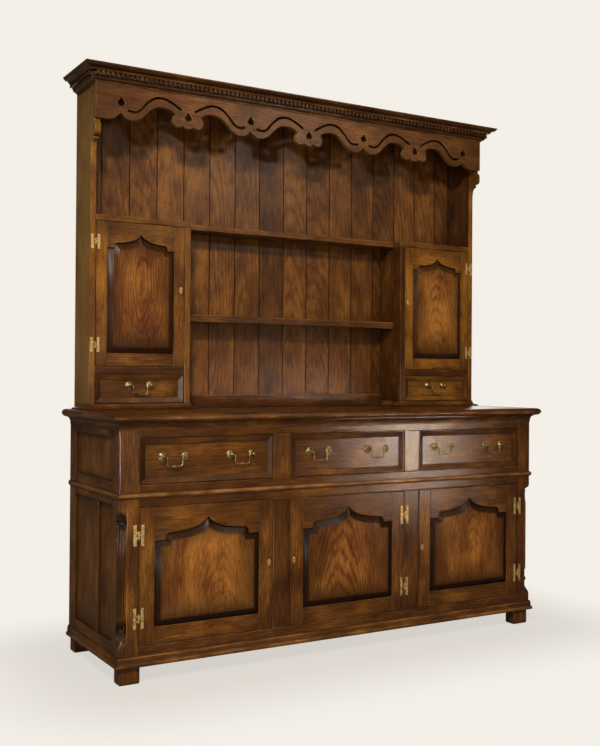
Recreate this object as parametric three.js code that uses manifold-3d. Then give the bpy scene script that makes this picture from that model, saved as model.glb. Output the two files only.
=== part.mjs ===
// A welsh dresser in oak: a base with three drawers over three doors, and a plate rack with a pierced
// frieze, two small cupboards and their drawers. Millimetres, +Z up, front towards -Y, X to the right.
// The origin is on the floor, under the middle of the dresser's bounding box.
import * as THREE from 'three';
import { mergeVertices } from 'three/addons/utils/BufferGeometryUtils.js';
import Module from 'manifold-3d';

const wasm = await Module();
wasm.setup();

// Driving sizes: widths across the front
const caseWidth = 1720;
const bayCount = 3;
const endStileWidth = 65;
const innerStileWidth = 66;
const cupboardWidth = 336;
const rackSideThickness = 20;
const uprightThickness = 22;
const rackInset = 13;

// Driving sizes: depths from the back
const caseDepth = 496;
const rackDepth = 156;
const friezeDepth = 202;
const shelfSetback = 47;

// Driving sizes: heights, stacked from the floor up
const footHeight = 56;
const bottomRailHeight = 62;
const doorHeight = 441;
const middleRailHeight = 69;
const drawerHeight = 151;
const topRailHeight = 56;
const topThickness = 21;
const rackBaseHeight = 21;
const rackDrawerHeight = 105;
const cupboardFloorThickness = 24;
const rackDoorHeight = 506;
const upperShelfThickness = 20;
const upperBayHeight = 322;
const friezeHeight = 122;
const corniceHeight = 54;
const middleShelfRise = 320;
const middleShelfThickness = 25;

// Boards
const frameThickness = 22;
const endThickness = 22;
const backThickness = 10;
const bottomThickness = 18;
const deckThickness = 16;
const guideHeight = 20;
const rackBackThickness = 12;
const rackTopThickness = 20;
const friezeThickness = 20;
const backRailThickness = 18;
const backRailHeight = 48;

// End frames: flat panels let in between stiles and rails
const endPanelRecess = 8;
const endRearStileWidth = 62;
const endFrontStileWidth = 62;
const endMuntinWidth = 36;
const endMuntinFromFront = 196;
const endTopRailHeight = 55;
const endMiddleRailHeight = 74;
const endMiddleRailRise = 6;
const endBottomRailHeight = 71;

// Corner columns: a stopped chamfer down each front corner
const columnChamfer = 25;
const columnFootRise = 61;
const columnHeadDrop = 10;

// Feet
const footWidth = 70;
const footDepth = 50;
const footInset = 5;

// Mouldings: projections and heights
const topOverhang = 32;
const nosingReturn = 11;
const nosingDrop = 16;
const topCoveProjection = 9;
const topCoveRise = 27;
const topLipDrop = 28;
const middleMouldingProjection = 6;
const middleMouldingHeight = 18;
const middleMouldingDrop = 24;
const plinthProjection = 10;
const plinthHeight = 35;
const plinthStepProjection = 5;
const plinthStepDrop = 9;
const plinthLip = 4;
const rackBaseFlare = 20;
const rackBaseLip = 4;
const corniceProjection = 51;
const corniceTopLip = 4;
const corniceCoveProjection = 30;
const corniceCoveDrop = 23;
const dentilDrop = 37;
const dentilBackProjection = 15;
const corniceFootProjection = 4;

// Doors and their fielded panels, whose fields stand a little proud of the frames
const doorThickness = 20;
const fitGap = 1.5;
const doorStileWidth = 54;
const doorBottomRailHeight = 57;
const doorShoulderDrop = 109;
const doorArchRise = 67;
const rackDoorStileWidth = 43;
const rackDoorBottomRailHeight = 47;
const rackDoorShoulderDrop = 92;
const rackDoorArchRise = 53;
const rebateDepth = 10;
const rebateWidth = 9;
const panelThickness = 6;
const panelFieldRise = 14;
const panelFieldMargin = 22;
const panelArchLoss = 10;
const panelSeatGap = 0.3;
const archStepShare = 0.8;
const archKneeShare = 0.7;
const archStepRiseShare = 0.34;
const archSweepShares = [[0.4, 0.4], [0.1, 0.5]];

// Escutcheons with their keyholes
const escutcheonWidth = 14;
const escutcheonHeight = 24;
const escutcheonThickness = 1.5;
const escutcheonFromEdge = 16;
const escutcheonHeightShare = 0.514;
const rackEscutcheonHeightShare = 0.547;
const keyholeRadius = 2.2;
const keyholeSlotWidth = 2.4;
const keyholeSlotLength = 7;
const keyholeDepth = 8;

// H hinges, planted on the face
const hingeHeight = 70;
const hingeHalfWidth = 18;
const hingeLeafWidth = 12;
const rackHingeHeight = 52;
const rackHingeHalfWidth = 17;
const rackHingeLeafWidth = 11;
const hingeFromTop = 89;
const hingeFromBottom = 89;
const rackHingeFromTop = 75;
const rackHingeFromBottom = 75;
const hingeLeafThickness = 2;
const knuckleRadius = 3.5;
const knuckleClearance = 0.3;
const knuckleLengthShare = 0.4;
const pinRadius = 1.5;
const pinClearance = 0.35;
const knuckleGap = 0.4;
const knuckleCount = 3;

// Drawers, with a sunk field inside a sloping margin
const drawerFrontThickness = 20;
const drawerRecess = 3;
const drawerLip = 2;
const drawerBevelWidth = 19;
const drawerFieldDepth = 6;
const drawerSideThickness = 10;
const drawerBottomThickness = 8;
const drawerSideGap = 2;
const drawerTopClearance = 8;
const drawerRunClearance = 0.3;
const drawerBackClearance = 12;
const drawerFrontLap = 8;

// Drawer handles: a rosette and post at each end of a swan-neck bail
const rosetteRadius = 14.5;
const rosetteEdge = 2;
const rosetteDome = 5;
const postRadius = 3;
const postBallRadius = 5;
const postReach = 12;
const handleSpacing = 80;
const rackHandleSpacing = 78;
const handleOffset = 122;
const handleHeightShare = 0.583;
const rackHandleHeightShare = 0.61;
const bailWireRadius = 1.7;
const bailBoreClearance = 0.4;
const bailLegInset = 13;
const bailDrop = 32;
const bailShoulderDrop = 6;
const bailCornerRadius = 8;
const bailEndLap = 4;

// Frieze: three repeats between plain ends. The shares are of one repeat's width and the board's height
const friezeRepeats = 3;
const friezeEndWidth = 92;
const friezeEndLobeWidth = 46;
const trefoilFootShares = [0, 0.02];
const friezeCurveShares = [
  [[0.028, 0.02], [0.042, 0.1]],
  [[0.056, 0.03], [0.084, 0.04]],
  [[0.118, 0.08], [0.115, 0.24]],
  [[0.112, 0.36], [0.098, 0.38]],
  [[0.13, 0.54], [0.2, 0.54]],
  [[0.262, 0.54], [0.318, 0.28]],
  [[0.358, 0.06], [0.412, 0.04]],
  [[0.468, 0.03], [0.5, 0.23]],
];
const fretLineShares = [
  [0.05, 0.53],
  [0.105, 0.66],
  [0.165, 0.77],
  [0.214, 0.79],
  [0.264, 0.735],
  [0.32, 0.55],
  [0.362, 0.35],
  [0.404, 0.27],
  [0.453, 0.305],
];
const fretWidth = 5;
const teardropHalfWidth = 12.5;
const teardropHeight = 31;
const teardropWaist = 2.5;
const cuspTearRise = 49;
const trefoilTearRise = 28;

// Scrolls at the top of the rack's sides
const scrollHeight = 112;
const scrollNeckDrop = 64;
const scrollNeckReach = 24;
const scrollQuirk = 10;

// How finely round forms are faceted
const ballSteps = 6;
const fretSteps = 10;
const friezeCurveSteps = 3;
const roundSides = 10;
const wireSides = 6;
const bailSteps = 22;
const curveSteps = 4;

// How far a cut runs past the wood, and how far the parts of one piece run into each other
const cutOverrun = 40;
const seamLap = 0.5;

// Places worked out from the sizes
const half = (length) => length / 2;
const caseHalf = half(caseWidth);
const openingWidth = (caseWidth - 2 * endStileWidth - (bayCount - 1) * innerStileWidth) / bayCount;
const bayPitch = openingWidth + innerStileWidth;
const rackHalf = caseHalf - rackInset;
const rackInnerHalf = rackHalf - rackSideThickness;
const uprightOuter = rackInnerHalf - cupboardWidth;
const uprightInner = uprightOuter - uprightThickness;
const cupboardCentre = half(rackInnerHalf + uprightOuter);
const caseInnerHalf = caseHalf - endThickness;
const frameBack = caseDepth - frameThickness;

const doorBottom = footHeight + bottomRailHeight;
const doorTop = doorBottom + doorHeight;
const drawerFloor = doorTop + middleRailHeight;
const drawerTop = drawerFloor + drawerHeight;
const caseTop = drawerTop + topRailHeight;
const tableTop = caseTop + topThickness;
const rackDrawerFloor = tableTop + rackBaseHeight;
const rackDrawerTop = rackDrawerFloor + rackDrawerHeight;
const rackDoorBottom = rackDrawerTop + cupboardFloorThickness;
const rackDoorTop = rackDoorBottom + rackDoorHeight;
const upperShelfTop = rackDoorTop + upperShelfThickness;
const friezeBottom = upperShelfTop + upperBayHeight;
const corniceBottom = friezeBottom + friezeHeight;
const rackTopHeight = corniceBottom + corniceHeight;
const rackTopUnderside = rackTopHeight - rackTopThickness;
const middleShelfBottom = tableTop + middleShelfRise;

// The origin lies half the overall depth in front of the back plane
const backY = half(caseDepth + topOverhang);
const yAt = (depth) => backY - depth;

// Materials
const oak = new THREE.MeshStandardMaterial({ color: 0x6b4526, roughness: 0.45, metalness: 0 });
const darkOak = new THREE.MeshStandardMaterial({ color: 0x45291a, roughness: 0.5, metalness: 0 });
const panelOak = new THREE.MeshStandardMaterial({ color: 0x7d5330, roughness: 0.4, metalness: 0 });
const brass = new THREE.MeshStandardMaterial({ color: 0xb0955a, roughness: 0.35, metalness: 1 });

const dresser = new THREE.Group();

// Solid helpers
function solid(geometry) {
  geometry.deleteAttribute('normal');
  geometry.deleteAttribute('uv');
  const welded = mergeVertices(geometry);
  return new wasm.Manifold(new wasm.Mesh({
    numProp: 3,
    vertProperties: new Float32Array(welded.attributes.position.array),
    triVerts: new Uint32Array(welded.index.array),
  }));
}

function addPiece(name, body, material) {
  const mesh = body.getMesh();
  const geometry = new THREE.BufferGeometry();
  geometry.setAttribute('position', new THREE.BufferAttribute(mesh.vertProperties, 3));
  geometry.setIndex(new THREE.BufferAttribute(mesh.triVerts, 1));
  geometry.computeVertexNormals();
  const piece = new THREE.Mesh(geometry, material);
  piece.name = name;
  dresser.add(piece);
}

function polygon(points) {
  return new THREE.Shape(points.map(([across, up]) => new THREE.Vector2(across, up)));
}

function extruded(shape, length) {
  return new THREE.ExtrudeGeometry(shape, {
    depth: length,
    bevelEnabled: false,
    curveSegments: curveSteps,
  });
}

// A section in (x, z), run from one depth to a greater one
function alongDepth(shape, depthFrom, depthTo) {
  const geometry = extruded(shape, depthTo - depthFrom);
  const axes = new THREE.Matrix4().makeBasis(
    new THREE.Vector3(1, 0, 0),
    new THREE.Vector3(0, 0, 1),
    new THREE.Vector3(0, -1, 0),
  );
  geometry.applyMatrix4(axes.setPosition(0, yAt(depthFrom), 0));
  return solid(geometry);
}

// A section in (depth, z), run across the front
function alongWidth(shape, xFrom, xTo) {
  const geometry = extruded(shape, xTo - xFrom);
  const axes = new THREE.Matrix4().makeBasis(
    new THREE.Vector3(0, -1, 0),
    new THREE.Vector3(0, 0, 1),
    new THREE.Vector3(-1, 0, 0),
  );
  geometry.applyMatrix4(axes.setPosition(xTo, backY, 0));
  return solid(geometry);
}

// A section in (x, depth), run upwards
function alongHeight(shape, zFrom, zTo) {
  const geometry = extruded(shape, zTo - zFrom);
  const axes = new THREE.Matrix4().makeBasis(
    new THREE.Vector3(1, 0, 0),
    new THREE.Vector3(0, -1, 0),
    new THREE.Vector3(0, 0, -1),
  );
  geometry.applyMatrix4(axes.setPosition(0, backY, zTo));
  return solid(geometry);
}

function block(xFrom, xTo, depthFrom, depthTo, zFrom, zTo) {
  const geometry = new THREE.BoxGeometry(xTo - xFrom, depthTo - depthFrom, zTo - zFrom);
  geometry.translate(half(xFrom + xTo), yAt(half(depthFrom + depthTo)), half(zFrom + zTo));
  return solid(geometry);
}

// A moulding that runs round the left, front and right of a block, mitred at its corners. The profile
// lists (projection, z) from the bottom up and is closed through the block.
function mouldedBlock(profile, xLeft, xRight, depthFront) {
  const low = profile[0][1];
  const high = profile[profile.length - 1][1];
  const front = profile.map(([out, z]) => [depthFront + out, z]);
  const right = profile.map(([out, z]) => [xRight + out, z]);
  const left = profile.map(([out, z]) => [xLeft - out, z]).reverse();
  const frontBody = alongWidth(
    polygon([[0, low], ...front, [0, high]]),
    xLeft - cutOverrun - topOverhang,
    xRight + cutOverrun + topOverhang,
  );
  const sideBody = alongDepth(polygon([...right, ...left]), 0, depthFront + cutOverrun + topOverhang);
  return frontBody.intersect(sideBody);
}

// A hollow or round between two profile points, bent towards a corner
function curvedProfile(from, corner, to) {
  const curve = new THREE.QuadraticBezierCurve(
    new THREE.Vector2(...from),
    new THREE.Vector2(...corner),
    new THREE.Vector2(...to),
  );
  return curve.getPoints(curveSteps).map((point) => [point.x, point.y]);
}

// Base: the case
function frontOpening(centre, zFrom, zTo) {
  return block(
    centre - half(openingWidth),
    centre + half(openingWidth),
    frameBack - cutOverrun,
    caseDepth + cutOverrun,
    zFrom,
    zTo,
  );
}

function columnCut(side) {
  const low = doorBottom - bottomRailHeight + columnFootRise;
  const high = doorTop - columnHeadDrop;
  const section = polygon([
    [side * (caseHalf - columnChamfer), caseDepth],
    [side * (caseHalf - columnChamfer), caseDepth + cutOverrun],
    [side * (caseHalf + cutOverrun), caseDepth + cutOverrun],
    [side * (caseHalf + cutOverrun), caseDepth - columnChamfer],
    [side * caseHalf, caseDepth - columnChamfer],
  ]);
  return alongHeight(section, low, high);
}

const leftColumn = columnCut(-1);
const rightColumn = columnCut(1);
const bayCentres = { left: -bayPitch, middle: 0, right: bayPitch };

let frontFrame = block(-caseHalf, caseHalf, frameBack, caseDepth, footHeight, caseTop);
for (const centre of Object.values(bayCentres)) {
  frontFrame = frontFrame.subtract(frontOpening(centre, doorBottom, doorTop));
  frontFrame = frontFrame.subtract(frontOpening(centre, drawerFloor, drawerTop));
}
frontFrame = frontFrame.subtract(leftColumn).subtract(rightColumn);
addPiece('front_frame', frontFrame, oak);

function caseEnd(side, columnBody) {
  const outer = side * caseHalf;
  const inner = side * caseInnerHalf;
  const floorOfRecess = side * (caseHalf - endPanelRecess);
  const beyond = side * (caseHalf + cutOverrun);
  const frontEdge = caseDepth - endFrontStileWidth;
  const muntinFront = caseDepth - endMuntinFromFront;
  const middleRailBottom = doorTop + endMiddleRailRise - half(endMiddleRailHeight - middleRailHeight);
  const lowerFrom = footHeight + endBottomRailHeight;
  const upperFrom = middleRailBottom + endMiddleRailHeight;
  const upperTo = caseTop - endTopRailHeight;
  const spans = [
    [endRearStileWidth, frontEdge, upperFrom, upperTo],
    [endRearStileWidth, muntinFront - endMuntinWidth, lowerFrom, middleRailBottom],
    [muntinFront, frontEdge, lowerFrom, middleRailBottom],
  ];
  const ordered = (first, second) => [Math.min(first, second), Math.max(first, second)];
  let end = block(...ordered(outer, inner), 0, frameBack, footHeight, caseTop);
  for (const [depthFrom, depthTo, zFrom, zTo] of spans) {
    end = end.subtract(block(...ordered(floorOfRecess, beyond), depthFrom, depthTo, zFrom, zTo));
  }
  return end.subtract(columnBody);
}

addPiece('left_end', caseEnd(-1, leftColumn), oak);
addPiece('right_end', caseEnd(1, rightColumn), oak);
addPiece('base_back', block(
  -caseInnerHalf,
  caseInnerHalf,
  0,
  backThickness,
  footHeight,
  caseTop,
), darkOak);
addPiece('bottom_board', block(
  -caseInnerHalf,
  caseInnerHalf,
  backThickness,
  frameBack,
  doorBottom - bottomThickness,
  doorBottom,
), darkOak);

// The deck carries the drawers, with a guide strip beside and between them
function guideStrip(xFrom, xTo) {
  return block(xFrom, xTo, backThickness, frameBack, drawerFloor - seamLap, drawerFloor + guideHeight);
}

const runEdge = half(openingWidth);
addPiece('drawer_deck', block(
  -caseInnerHalf,
  caseInnerHalf,
  backThickness,
  frameBack,
  drawerFloor - deckThickness,
  drawerFloor,
)
  .add(guideStrip(-caseInnerHalf, -bayPitch - runEdge))
  .add(guideStrip(-bayPitch + runEdge, -runEdge))
  .add(guideStrip(runEdge, bayPitch - runEdge))
  .add(guideStrip(bayPitch + runEdge, caseInnerHalf)), darkOak);

const rearFootFrom = 0;
for (const [name, side, depthFrom] of [
  ['front_left_foot', -1, caseDepth - footInset - footDepth],
  ['front_right_foot', 1, caseDepth - footInset - footDepth],
  ['rear_left_foot', -1, rearFootFrom],
  ['rear_right_foot', 1, rearFootFrom],
]) {
  const outer = side * (caseHalf - footInset);
  const inner = outer - side * footWidth;
  addPiece(name, block(
    Math.min(outer, inner),
    Math.max(outer, inner),
    depthFrom,
    depthFrom + footDepth,
    0,
    footHeight,
  ), oak);
}

// Base: mouldings
const caseCore = (zFrom, zTo) => block(-caseHalf, caseHalf, 0, caseDepth, zFrom, zTo);

const topProfile = [
  ...curvedProfile(
    [0, tableTop - topLipDrop - topCoveRise],
    [0, tableTop - topLipDrop],
    [topCoveProjection, tableTop - topLipDrop],
  ),
  ...curvedProfile(
    [topOverhang, tableTop - nosingDrop],
    [topOverhang, tableTop],
    [topOverhang - nosingReturn, tableTop],
  ),
];
const topBody = mouldedBlock(topProfile, -caseHalf, caseHalf, caseDepth);
addPiece('base_top', topBody.subtract(caseCore(doorTop, caseTop)), oak);

const middleMouldingTop = drawerFloor - middleMouldingDrop;
const middleProfile = [
  [0, middleMouldingTop - middleMouldingHeight],
  ...curvedProfile(
    [middleMouldingProjection, middleMouldingTop - middleMouldingHeight],
    [middleMouldingProjection, middleMouldingTop],
    [0, middleMouldingTop],
  ),
];
addPiece('middle_moulding', mouldedBlock(middleProfile, -caseHalf, caseHalf, caseDepth)
  .subtract(caseCore(doorBottom, caseTop)), oak);

const plinthTop = footHeight + plinthHeight;
const plinthWaist = plinthTop - half(plinthHeight);
const plinthProfile = [
  [0, footHeight],
  [plinthProjection, footHeight],
  [plinthProjection, footHeight + plinthLip],
  ...curvedProfile(
    [half(plinthProjection + plinthStepProjection), plinthWaist],
    [plinthStepProjection, plinthWaist],
    [plinthStepProjection, plinthTop - plinthStepDrop],
  ),
  [0, plinthTop],
];
addPiece('plinth_moulding', mouldedBlock(plinthProfile, -caseHalf, caseHalf, caseDepth)
  .subtract(caseCore(0, caseTop)), oak);

// Rack: cornice, frieze, top, sides and back
const corniceProfile = [
  [0, corniceBottom],
  [corniceFootProjection, corniceBottom],
  ...curvedProfile(
    [corniceFootProjection, corniceBottom + corniceFootProjection],
    [dentilBackProjection, corniceBottom + corniceFootProjection],
    [dentilBackProjection, rackTopHeight - dentilDrop],
  ),
  [corniceCoveProjection, rackTopHeight - dentilDrop],
  [corniceCoveProjection, rackTopHeight - corniceCoveDrop],
  [corniceProjection, rackTopHeight - corniceTopLip],
  [corniceProjection, rackTopHeight],
];
const rackCore = (zFrom, zTo) => block(-rackHalf, rackHalf, 0, friezeDepth, zFrom, zTo);
addPiece('cornice', mouldedBlock(corniceProfile, -rackHalf, rackHalf, friezeDepth)
  .subtract(rackCore(friezeBottom, rackTopHeight + cutOverrun)), oak);
addPiece('rack_top', block(
  -rackHalf,
  rackHalf,
  0,
  friezeDepth,
  rackTopUnderside,
  rackTopHeight,
), darkOak);

// The frieze's lower edge repeats: a cusp, a low lobe, an arch and a trefoil pendant, then back again
const friezeRepeat = (2 * rackHalf - 2 * friezeEndWidth) / friezeRepeats;

function friezeHalfEdge(centre, side) {
  const at = ([acrossShare, riseShare]) => new THREE.Vector2(
    centre + side * acrossShare * friezeRepeat,
    friezeBottom + riseShare * friezeHeight,
  );
  const path = new THREE.Path();
  path.moveTo(...at(trefoilFootShares).toArray());
  for (const [bend, end] of friezeCurveShares) {
    path.quadraticCurveTo(...at(bend).toArray(), ...at(end).toArray());
  }
  return path.getPoints(friezeCurveSteps);
}

function friezeOutline() {
  const points = [];
  for (let repeat = 0; repeat < friezeRepeats; repeat += 1) {
    const centre = (repeat - half(friezeRepeats - 1)) * friezeRepeat;
    const left = friezeHalfEdge(centre, -1).reverse();
    const right = friezeHalfEdge(centre, 1).slice(1);
    points.push(...(repeat === 0 ? left : left.slice(1)), ...right);
  }
  const cuspRise = points[0].y;
  const endCurve = new THREE.QuadraticBezierCurve(
    new THREE.Vector2(rackHalf - friezeEndWidth, cuspRise),
    new THREE.Vector2(rackHalf - friezeEndWidth + half(friezeEndLobeWidth), friezeBottom),
    new THREE.Vector2(rackHalf - friezeEndWidth + friezeEndLobeWidth, friezeBottom),
  ).getPoints(curveSteps).slice(1);
  const rightEnd = [...endCurve, new THREE.Vector2(rackInnerHalf, friezeBottom)];
  const leftEnd = rightEnd.map((point) => new THREE.Vector2(-point.x, point.y)).reverse();
  return new THREE.Shape([
    ...leftEnd,
    ...points,
    ...rightEnd,
    new THREE.Vector2(rackInnerHalf, rackTopUnderside),
    new THREE.Vector2(-rackInnerHalf, rackTopUnderside),
  ]);
}

// A teardrop piercing with its point up
function teardrop(centre, bottom) {
  const shape = new THREE.Shape();
  const middle = bottom + teardropHalfWidth;
  const shoulder = middle + teardropHalfWidth;
  const tip = bottom + teardropHeight;
  shape.moveTo(centre, tip);
  shape.quadraticCurveTo(centre - teardropWaist, shoulder, centre - teardropHalfWidth, middle);
  shape.quadraticCurveTo(centre - teardropHalfWidth, bottom, centre, bottom);
  shape.quadraticCurveTo(centre + teardropHalfWidth, bottom, centre + teardropHalfWidth, middle);
  shape.quadraticCurveTo(centre + teardropWaist, shoulder, centre, tip);
  return shape;
}

// A thin slot that follows an arch: its centre line is offset half a width to each side
function fretSlot(centre, side) {
  const line = new THREE.SplineCurve(fretLineShares.map(([acrossShare, riseShare]) => new THREE.Vector2(
    centre + side * acrossShare * friezeRepeat,
    friezeBottom + riseShare * friezeHeight,
  )));
  const upper = [];
  const lower = [];
  for (let step = 0; step <= fretSteps; step += 1) {
    const point = line.getPointAt(step / fretSteps);
    const tangent = line.getTangentAt(step / fretSteps);
    const offset = new THREE.Vector2(-tangent.y, tangent.x).multiplyScalar(half(fretWidth));
    upper.push(point.clone().add(offset));
    lower.push(point.clone().sub(offset));
  }
  return new THREE.Shape([...upper, ...lower.reverse()]);
}

const friezeBack = friezeDepth - friezeThickness;
const pierce = (shape) => alongDepth(shape, friezeBack - cutOverrun, friezeDepth + cutOverrun);
let frieze = alongDepth(friezeOutline(), friezeBack, friezeDepth);
for (let repeat = 0; repeat < friezeRepeats; repeat += 1) {
  const centre = (repeat - half(friezeRepeats - 1)) * friezeRepeat;
  frieze = frieze.subtract(pierce(teardrop(centre, friezeBottom + trefoilTearRise)));
  frieze = frieze.subtract(pierce(fretSlot(centre, -1)));
  frieze = frieze.subtract(pierce(fretSlot(centre, 1)));
}
for (let cusp = 0; cusp <= friezeRepeats; cusp += 1) {
  const centre = (cusp - half(friezeRepeats)) * friezeRepeat;
  frieze = frieze.subtract(pierce(teardrop(centre, friezeBottom + cuspTearRise)));
}
addPiece('frieze', frieze, oak);

// Each side board ends at the top in a scroll that carries the frieze
function rackSide(side) {
  const shape = new THREE.Shape();
  const neck = friezeBottom - scrollNeckDrop;
  const quirk = friezeBottom - scrollQuirk;
  shape.moveTo(0, tableTop);
  shape.lineTo(rackDepth, tableTop);
  shape.lineTo(rackDepth, friezeBottom - scrollHeight);
  shape.quadraticCurveTo(rackDepth, neck, rackDepth + scrollNeckReach, neck);
  shape.quadraticCurveTo(friezeDepth, neck, friezeDepth, friezeBottom - half(scrollNeckDrop));
  shape.quadraticCurveTo(friezeDepth, quirk, friezeDepth - scrollQuirk, quirk);
  shape.lineTo(friezeDepth - scrollQuirk, friezeBottom);
  shape.lineTo(friezeDepth, friezeBottom);
  shape.lineTo(friezeDepth, rackTopUnderside);
  shape.lineTo(0, rackTopUnderside);
  const outer = side * rackHalf;
  const inner = side * rackInnerHalf;
  return alongWidth(shape, Math.min(outer, inner), Math.max(outer, inner));
}

addPiece('rack_left_side', rackSide(-1), oak);
addPiece('rack_right_side', rackSide(1), oak);

const backRail = block(
  -uprightInner,
  uprightInner,
  rackBackThickness - seamLap,
  rackBackThickness + backRailThickness,
  tableTop,
  tableTop + backRailHeight,
);
addPiece('rack_back', block(
  -rackInnerHalf,
  rackInnerHalf,
  0,
  rackBackThickness,
  tableTop,
  rackTopUnderside,
).add(backRail), oak);

// Rack: shelves, uprights and cupboard floors
const shelfFront = rackDepth - shelfSetback;
addPiece('upper_shelf', block(
  -rackInnerHalf,
  rackInnerHalf,
  rackBackThickness,
  rackDepth,
  rackDoorTop,
  upperShelfTop,
).subtract(block(
  -uprightInner,
  uprightInner,
  shelfFront,
  rackDepth + cutOverrun,
  rackDoorTop - cutOverrun,
  upperShelfTop + cutOverrun,
)), oak);
addPiece('middle_shelf', block(
  -uprightInner,
  uprightInner,
  rackBackThickness,
  shelfFront,
  middleShelfBottom,
  middleShelfBottom + middleShelfThickness,
), oak);

const rackBaseProfile = [
  [rackBaseFlare, tableTop],
  [rackBaseFlare, tableTop + rackBaseLip],
  ...curvedProfile(
    [rackBaseFlare - rackBaseLip, tableTop + rackBaseLip],
    [0, tableTop + rackBaseLip],
    [0, rackDrawerFloor],
  ),
];

for (const [hand, side] of [['left', -1], ['right', 1]]) {
  const across = (inner, outer) => (side < 0 ? [-outer, -inner] : [inner, outer]);
  const uprightSpan = across(uprightInner, uprightOuter);
  const bay = across(uprightOuter, rackInnerHalf);
  const sideSpan = across(rackInnerHalf, rackHalf);
  const unit = across(uprightInner, rackHalf);
  addPiece(`${hand}_upright`, block(
    ...uprightSpan,
    rackBackThickness,
    rackDepth,
    tableTop,
    rackDoorTop,
  ), oak);
  addPiece(`${hand}_cupboard_floor`, block(
    ...bay,
    rackBackThickness,
    rackDepth,
    rackDrawerTop,
    rackDoorBottom,
  ), oak);
  const clearOf = (span, depthTo) => block(
    ...span,
    -cutOverrun,
    depthTo,
    tableTop - cutOverrun,
    rackDrawerFloor + cutOverrun,
  );
  addPiece(`${hand}_rack_base`, mouldedBlock(rackBaseProfile, ...unit, rackDepth)
    .subtract(clearOf(sideSpan, rackDepth))
    .subtract(clearOf(uprightSpan, rackDepth))
    .subtract(clearOf([-rackHalf, rackHalf], rackBackThickness))
    .subtract(clearOf([-uprightInner, uprightInner], rackBackThickness + backRailThickness)), oak);
}

// Doors: a frame with an arched opening over a fielded panel, its keyhole plate, and two H hinges
function archedShape(centre, bottom, halfWidth, shoulder, rise) {
  const shape = new THREE.Shape();
  const at = (side, acrossShare, riseShare) => [
    centre + side * halfWidth * acrossShare,
    shoulder + rise * riseShare,
  ];
  const step = (side) => at(side, archStepShare, 0);
  const stepCorner = (side) => at(side, archStepShare, archStepRiseShare);
  const knee = (side) => at(side, archKneeShare, archStepRiseShare);
  const [nearKnee, nearPoint] = archSweepShares;
  shape.moveTo(centre - halfWidth, bottom);
  shape.lineTo(centre + halfWidth, bottom);
  shape.lineTo(centre + halfWidth, shoulder);
  shape.lineTo(...step(1));
  shape.quadraticCurveTo(...stepCorner(1), ...knee(1));
  shape.bezierCurveTo(...at(1, ...nearKnee), ...at(1, ...nearPoint), centre, shoulder + rise);
  shape.bezierCurveTo(...at(-1, ...nearPoint), ...at(-1, ...nearKnee), ...knee(-1));
  shape.quadraticCurveTo(...stepCorner(-1), ...step(-1));
  shape.lineTo(centre - halfWidth, shoulder);
  return shape;
}

function ellipseShape(centre, middle, width, height) {
  const shape = new THREE.Shape();
  shape.absellipse(centre, middle, half(width), half(height), 0, 2 * Math.PI, false, 0);
  return shape;
}

function cylinderUp(x, depth, radius, zFrom, zTo) {
  const geometry = new THREE.CylinderGeometry(radius, radius, zTo - zFrom, roundSides);
  geometry.rotateX(half(Math.PI));
  geometry.translate(x, yAt(depth), half(zFrom + zTo));
  return solid(geometry);
}

// One H hinge about a vertical pin: the leaf on the case carries the pin and the upper and lower
// knuckles, and the leaf on the door carries the middle one. inward points to the door.
function hingeParts(pinX, inward, face, middle, sizes) {
  const pinDepth = face + knuckleRadius + knuckleClearance;
  const knuckleHalf = half(sizes.height * knuckleLengthShare);
  const third = knuckleHalf / knuckleCount;
  const leafDepth = face + hingeLeafThickness;
  const leaf = (direction, from, to, seat, zFrom, zTo) => {
    const near = pinX + direction * from;
    const far = pinX + direction * to;
    return block(Math.min(near, far), Math.max(near, far), seat, leafDepth, zFrom, zTo);
  };
  const inner = sizes.halfWidth - sizes.leafWidth;
  const strapEnd = inner + half(sizes.leafWidth);
  const plate = (direction, seat) => leaf(
    direction,
    inner,
    sizes.halfWidth,
    seat,
    middle - half(sizes.height),
    middle + half(sizes.height),
  );
  const knuckle = (direction, zFrom, zTo) => leaf(direction, 0, strapEnd, face, zFrom, zTo)
    .add(cylinderUp(pinX, pinDepth, knuckleRadius, zFrom, zTo));
  const fixedLeaf = plate(-inward, face)
    .add(knuckle(-inward, middle + third + half(knuckleGap), middle + knuckleHalf))
    .add(knuckle(-inward, middle - knuckleHalf, middle - third - half(knuckleGap)))
    .add(cylinderUp(pinX, pinDepth, pinRadius, middle - knuckleHalf, middle + knuckleHalf));
  const doorLeaf = plate(inward, face - seamLap)
    .add(knuckle(inward, middle - third + half(knuckleGap), middle + third - half(knuckleGap)))
    .subtract(cylinderUp(
      pinX,
      pinDepth,
      pinRadius + pinClearance,
      middle - knuckleHalf,
      middle + knuckleHalf,
    ));
  return { fixedLeaf, doorLeaf };
}

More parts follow.
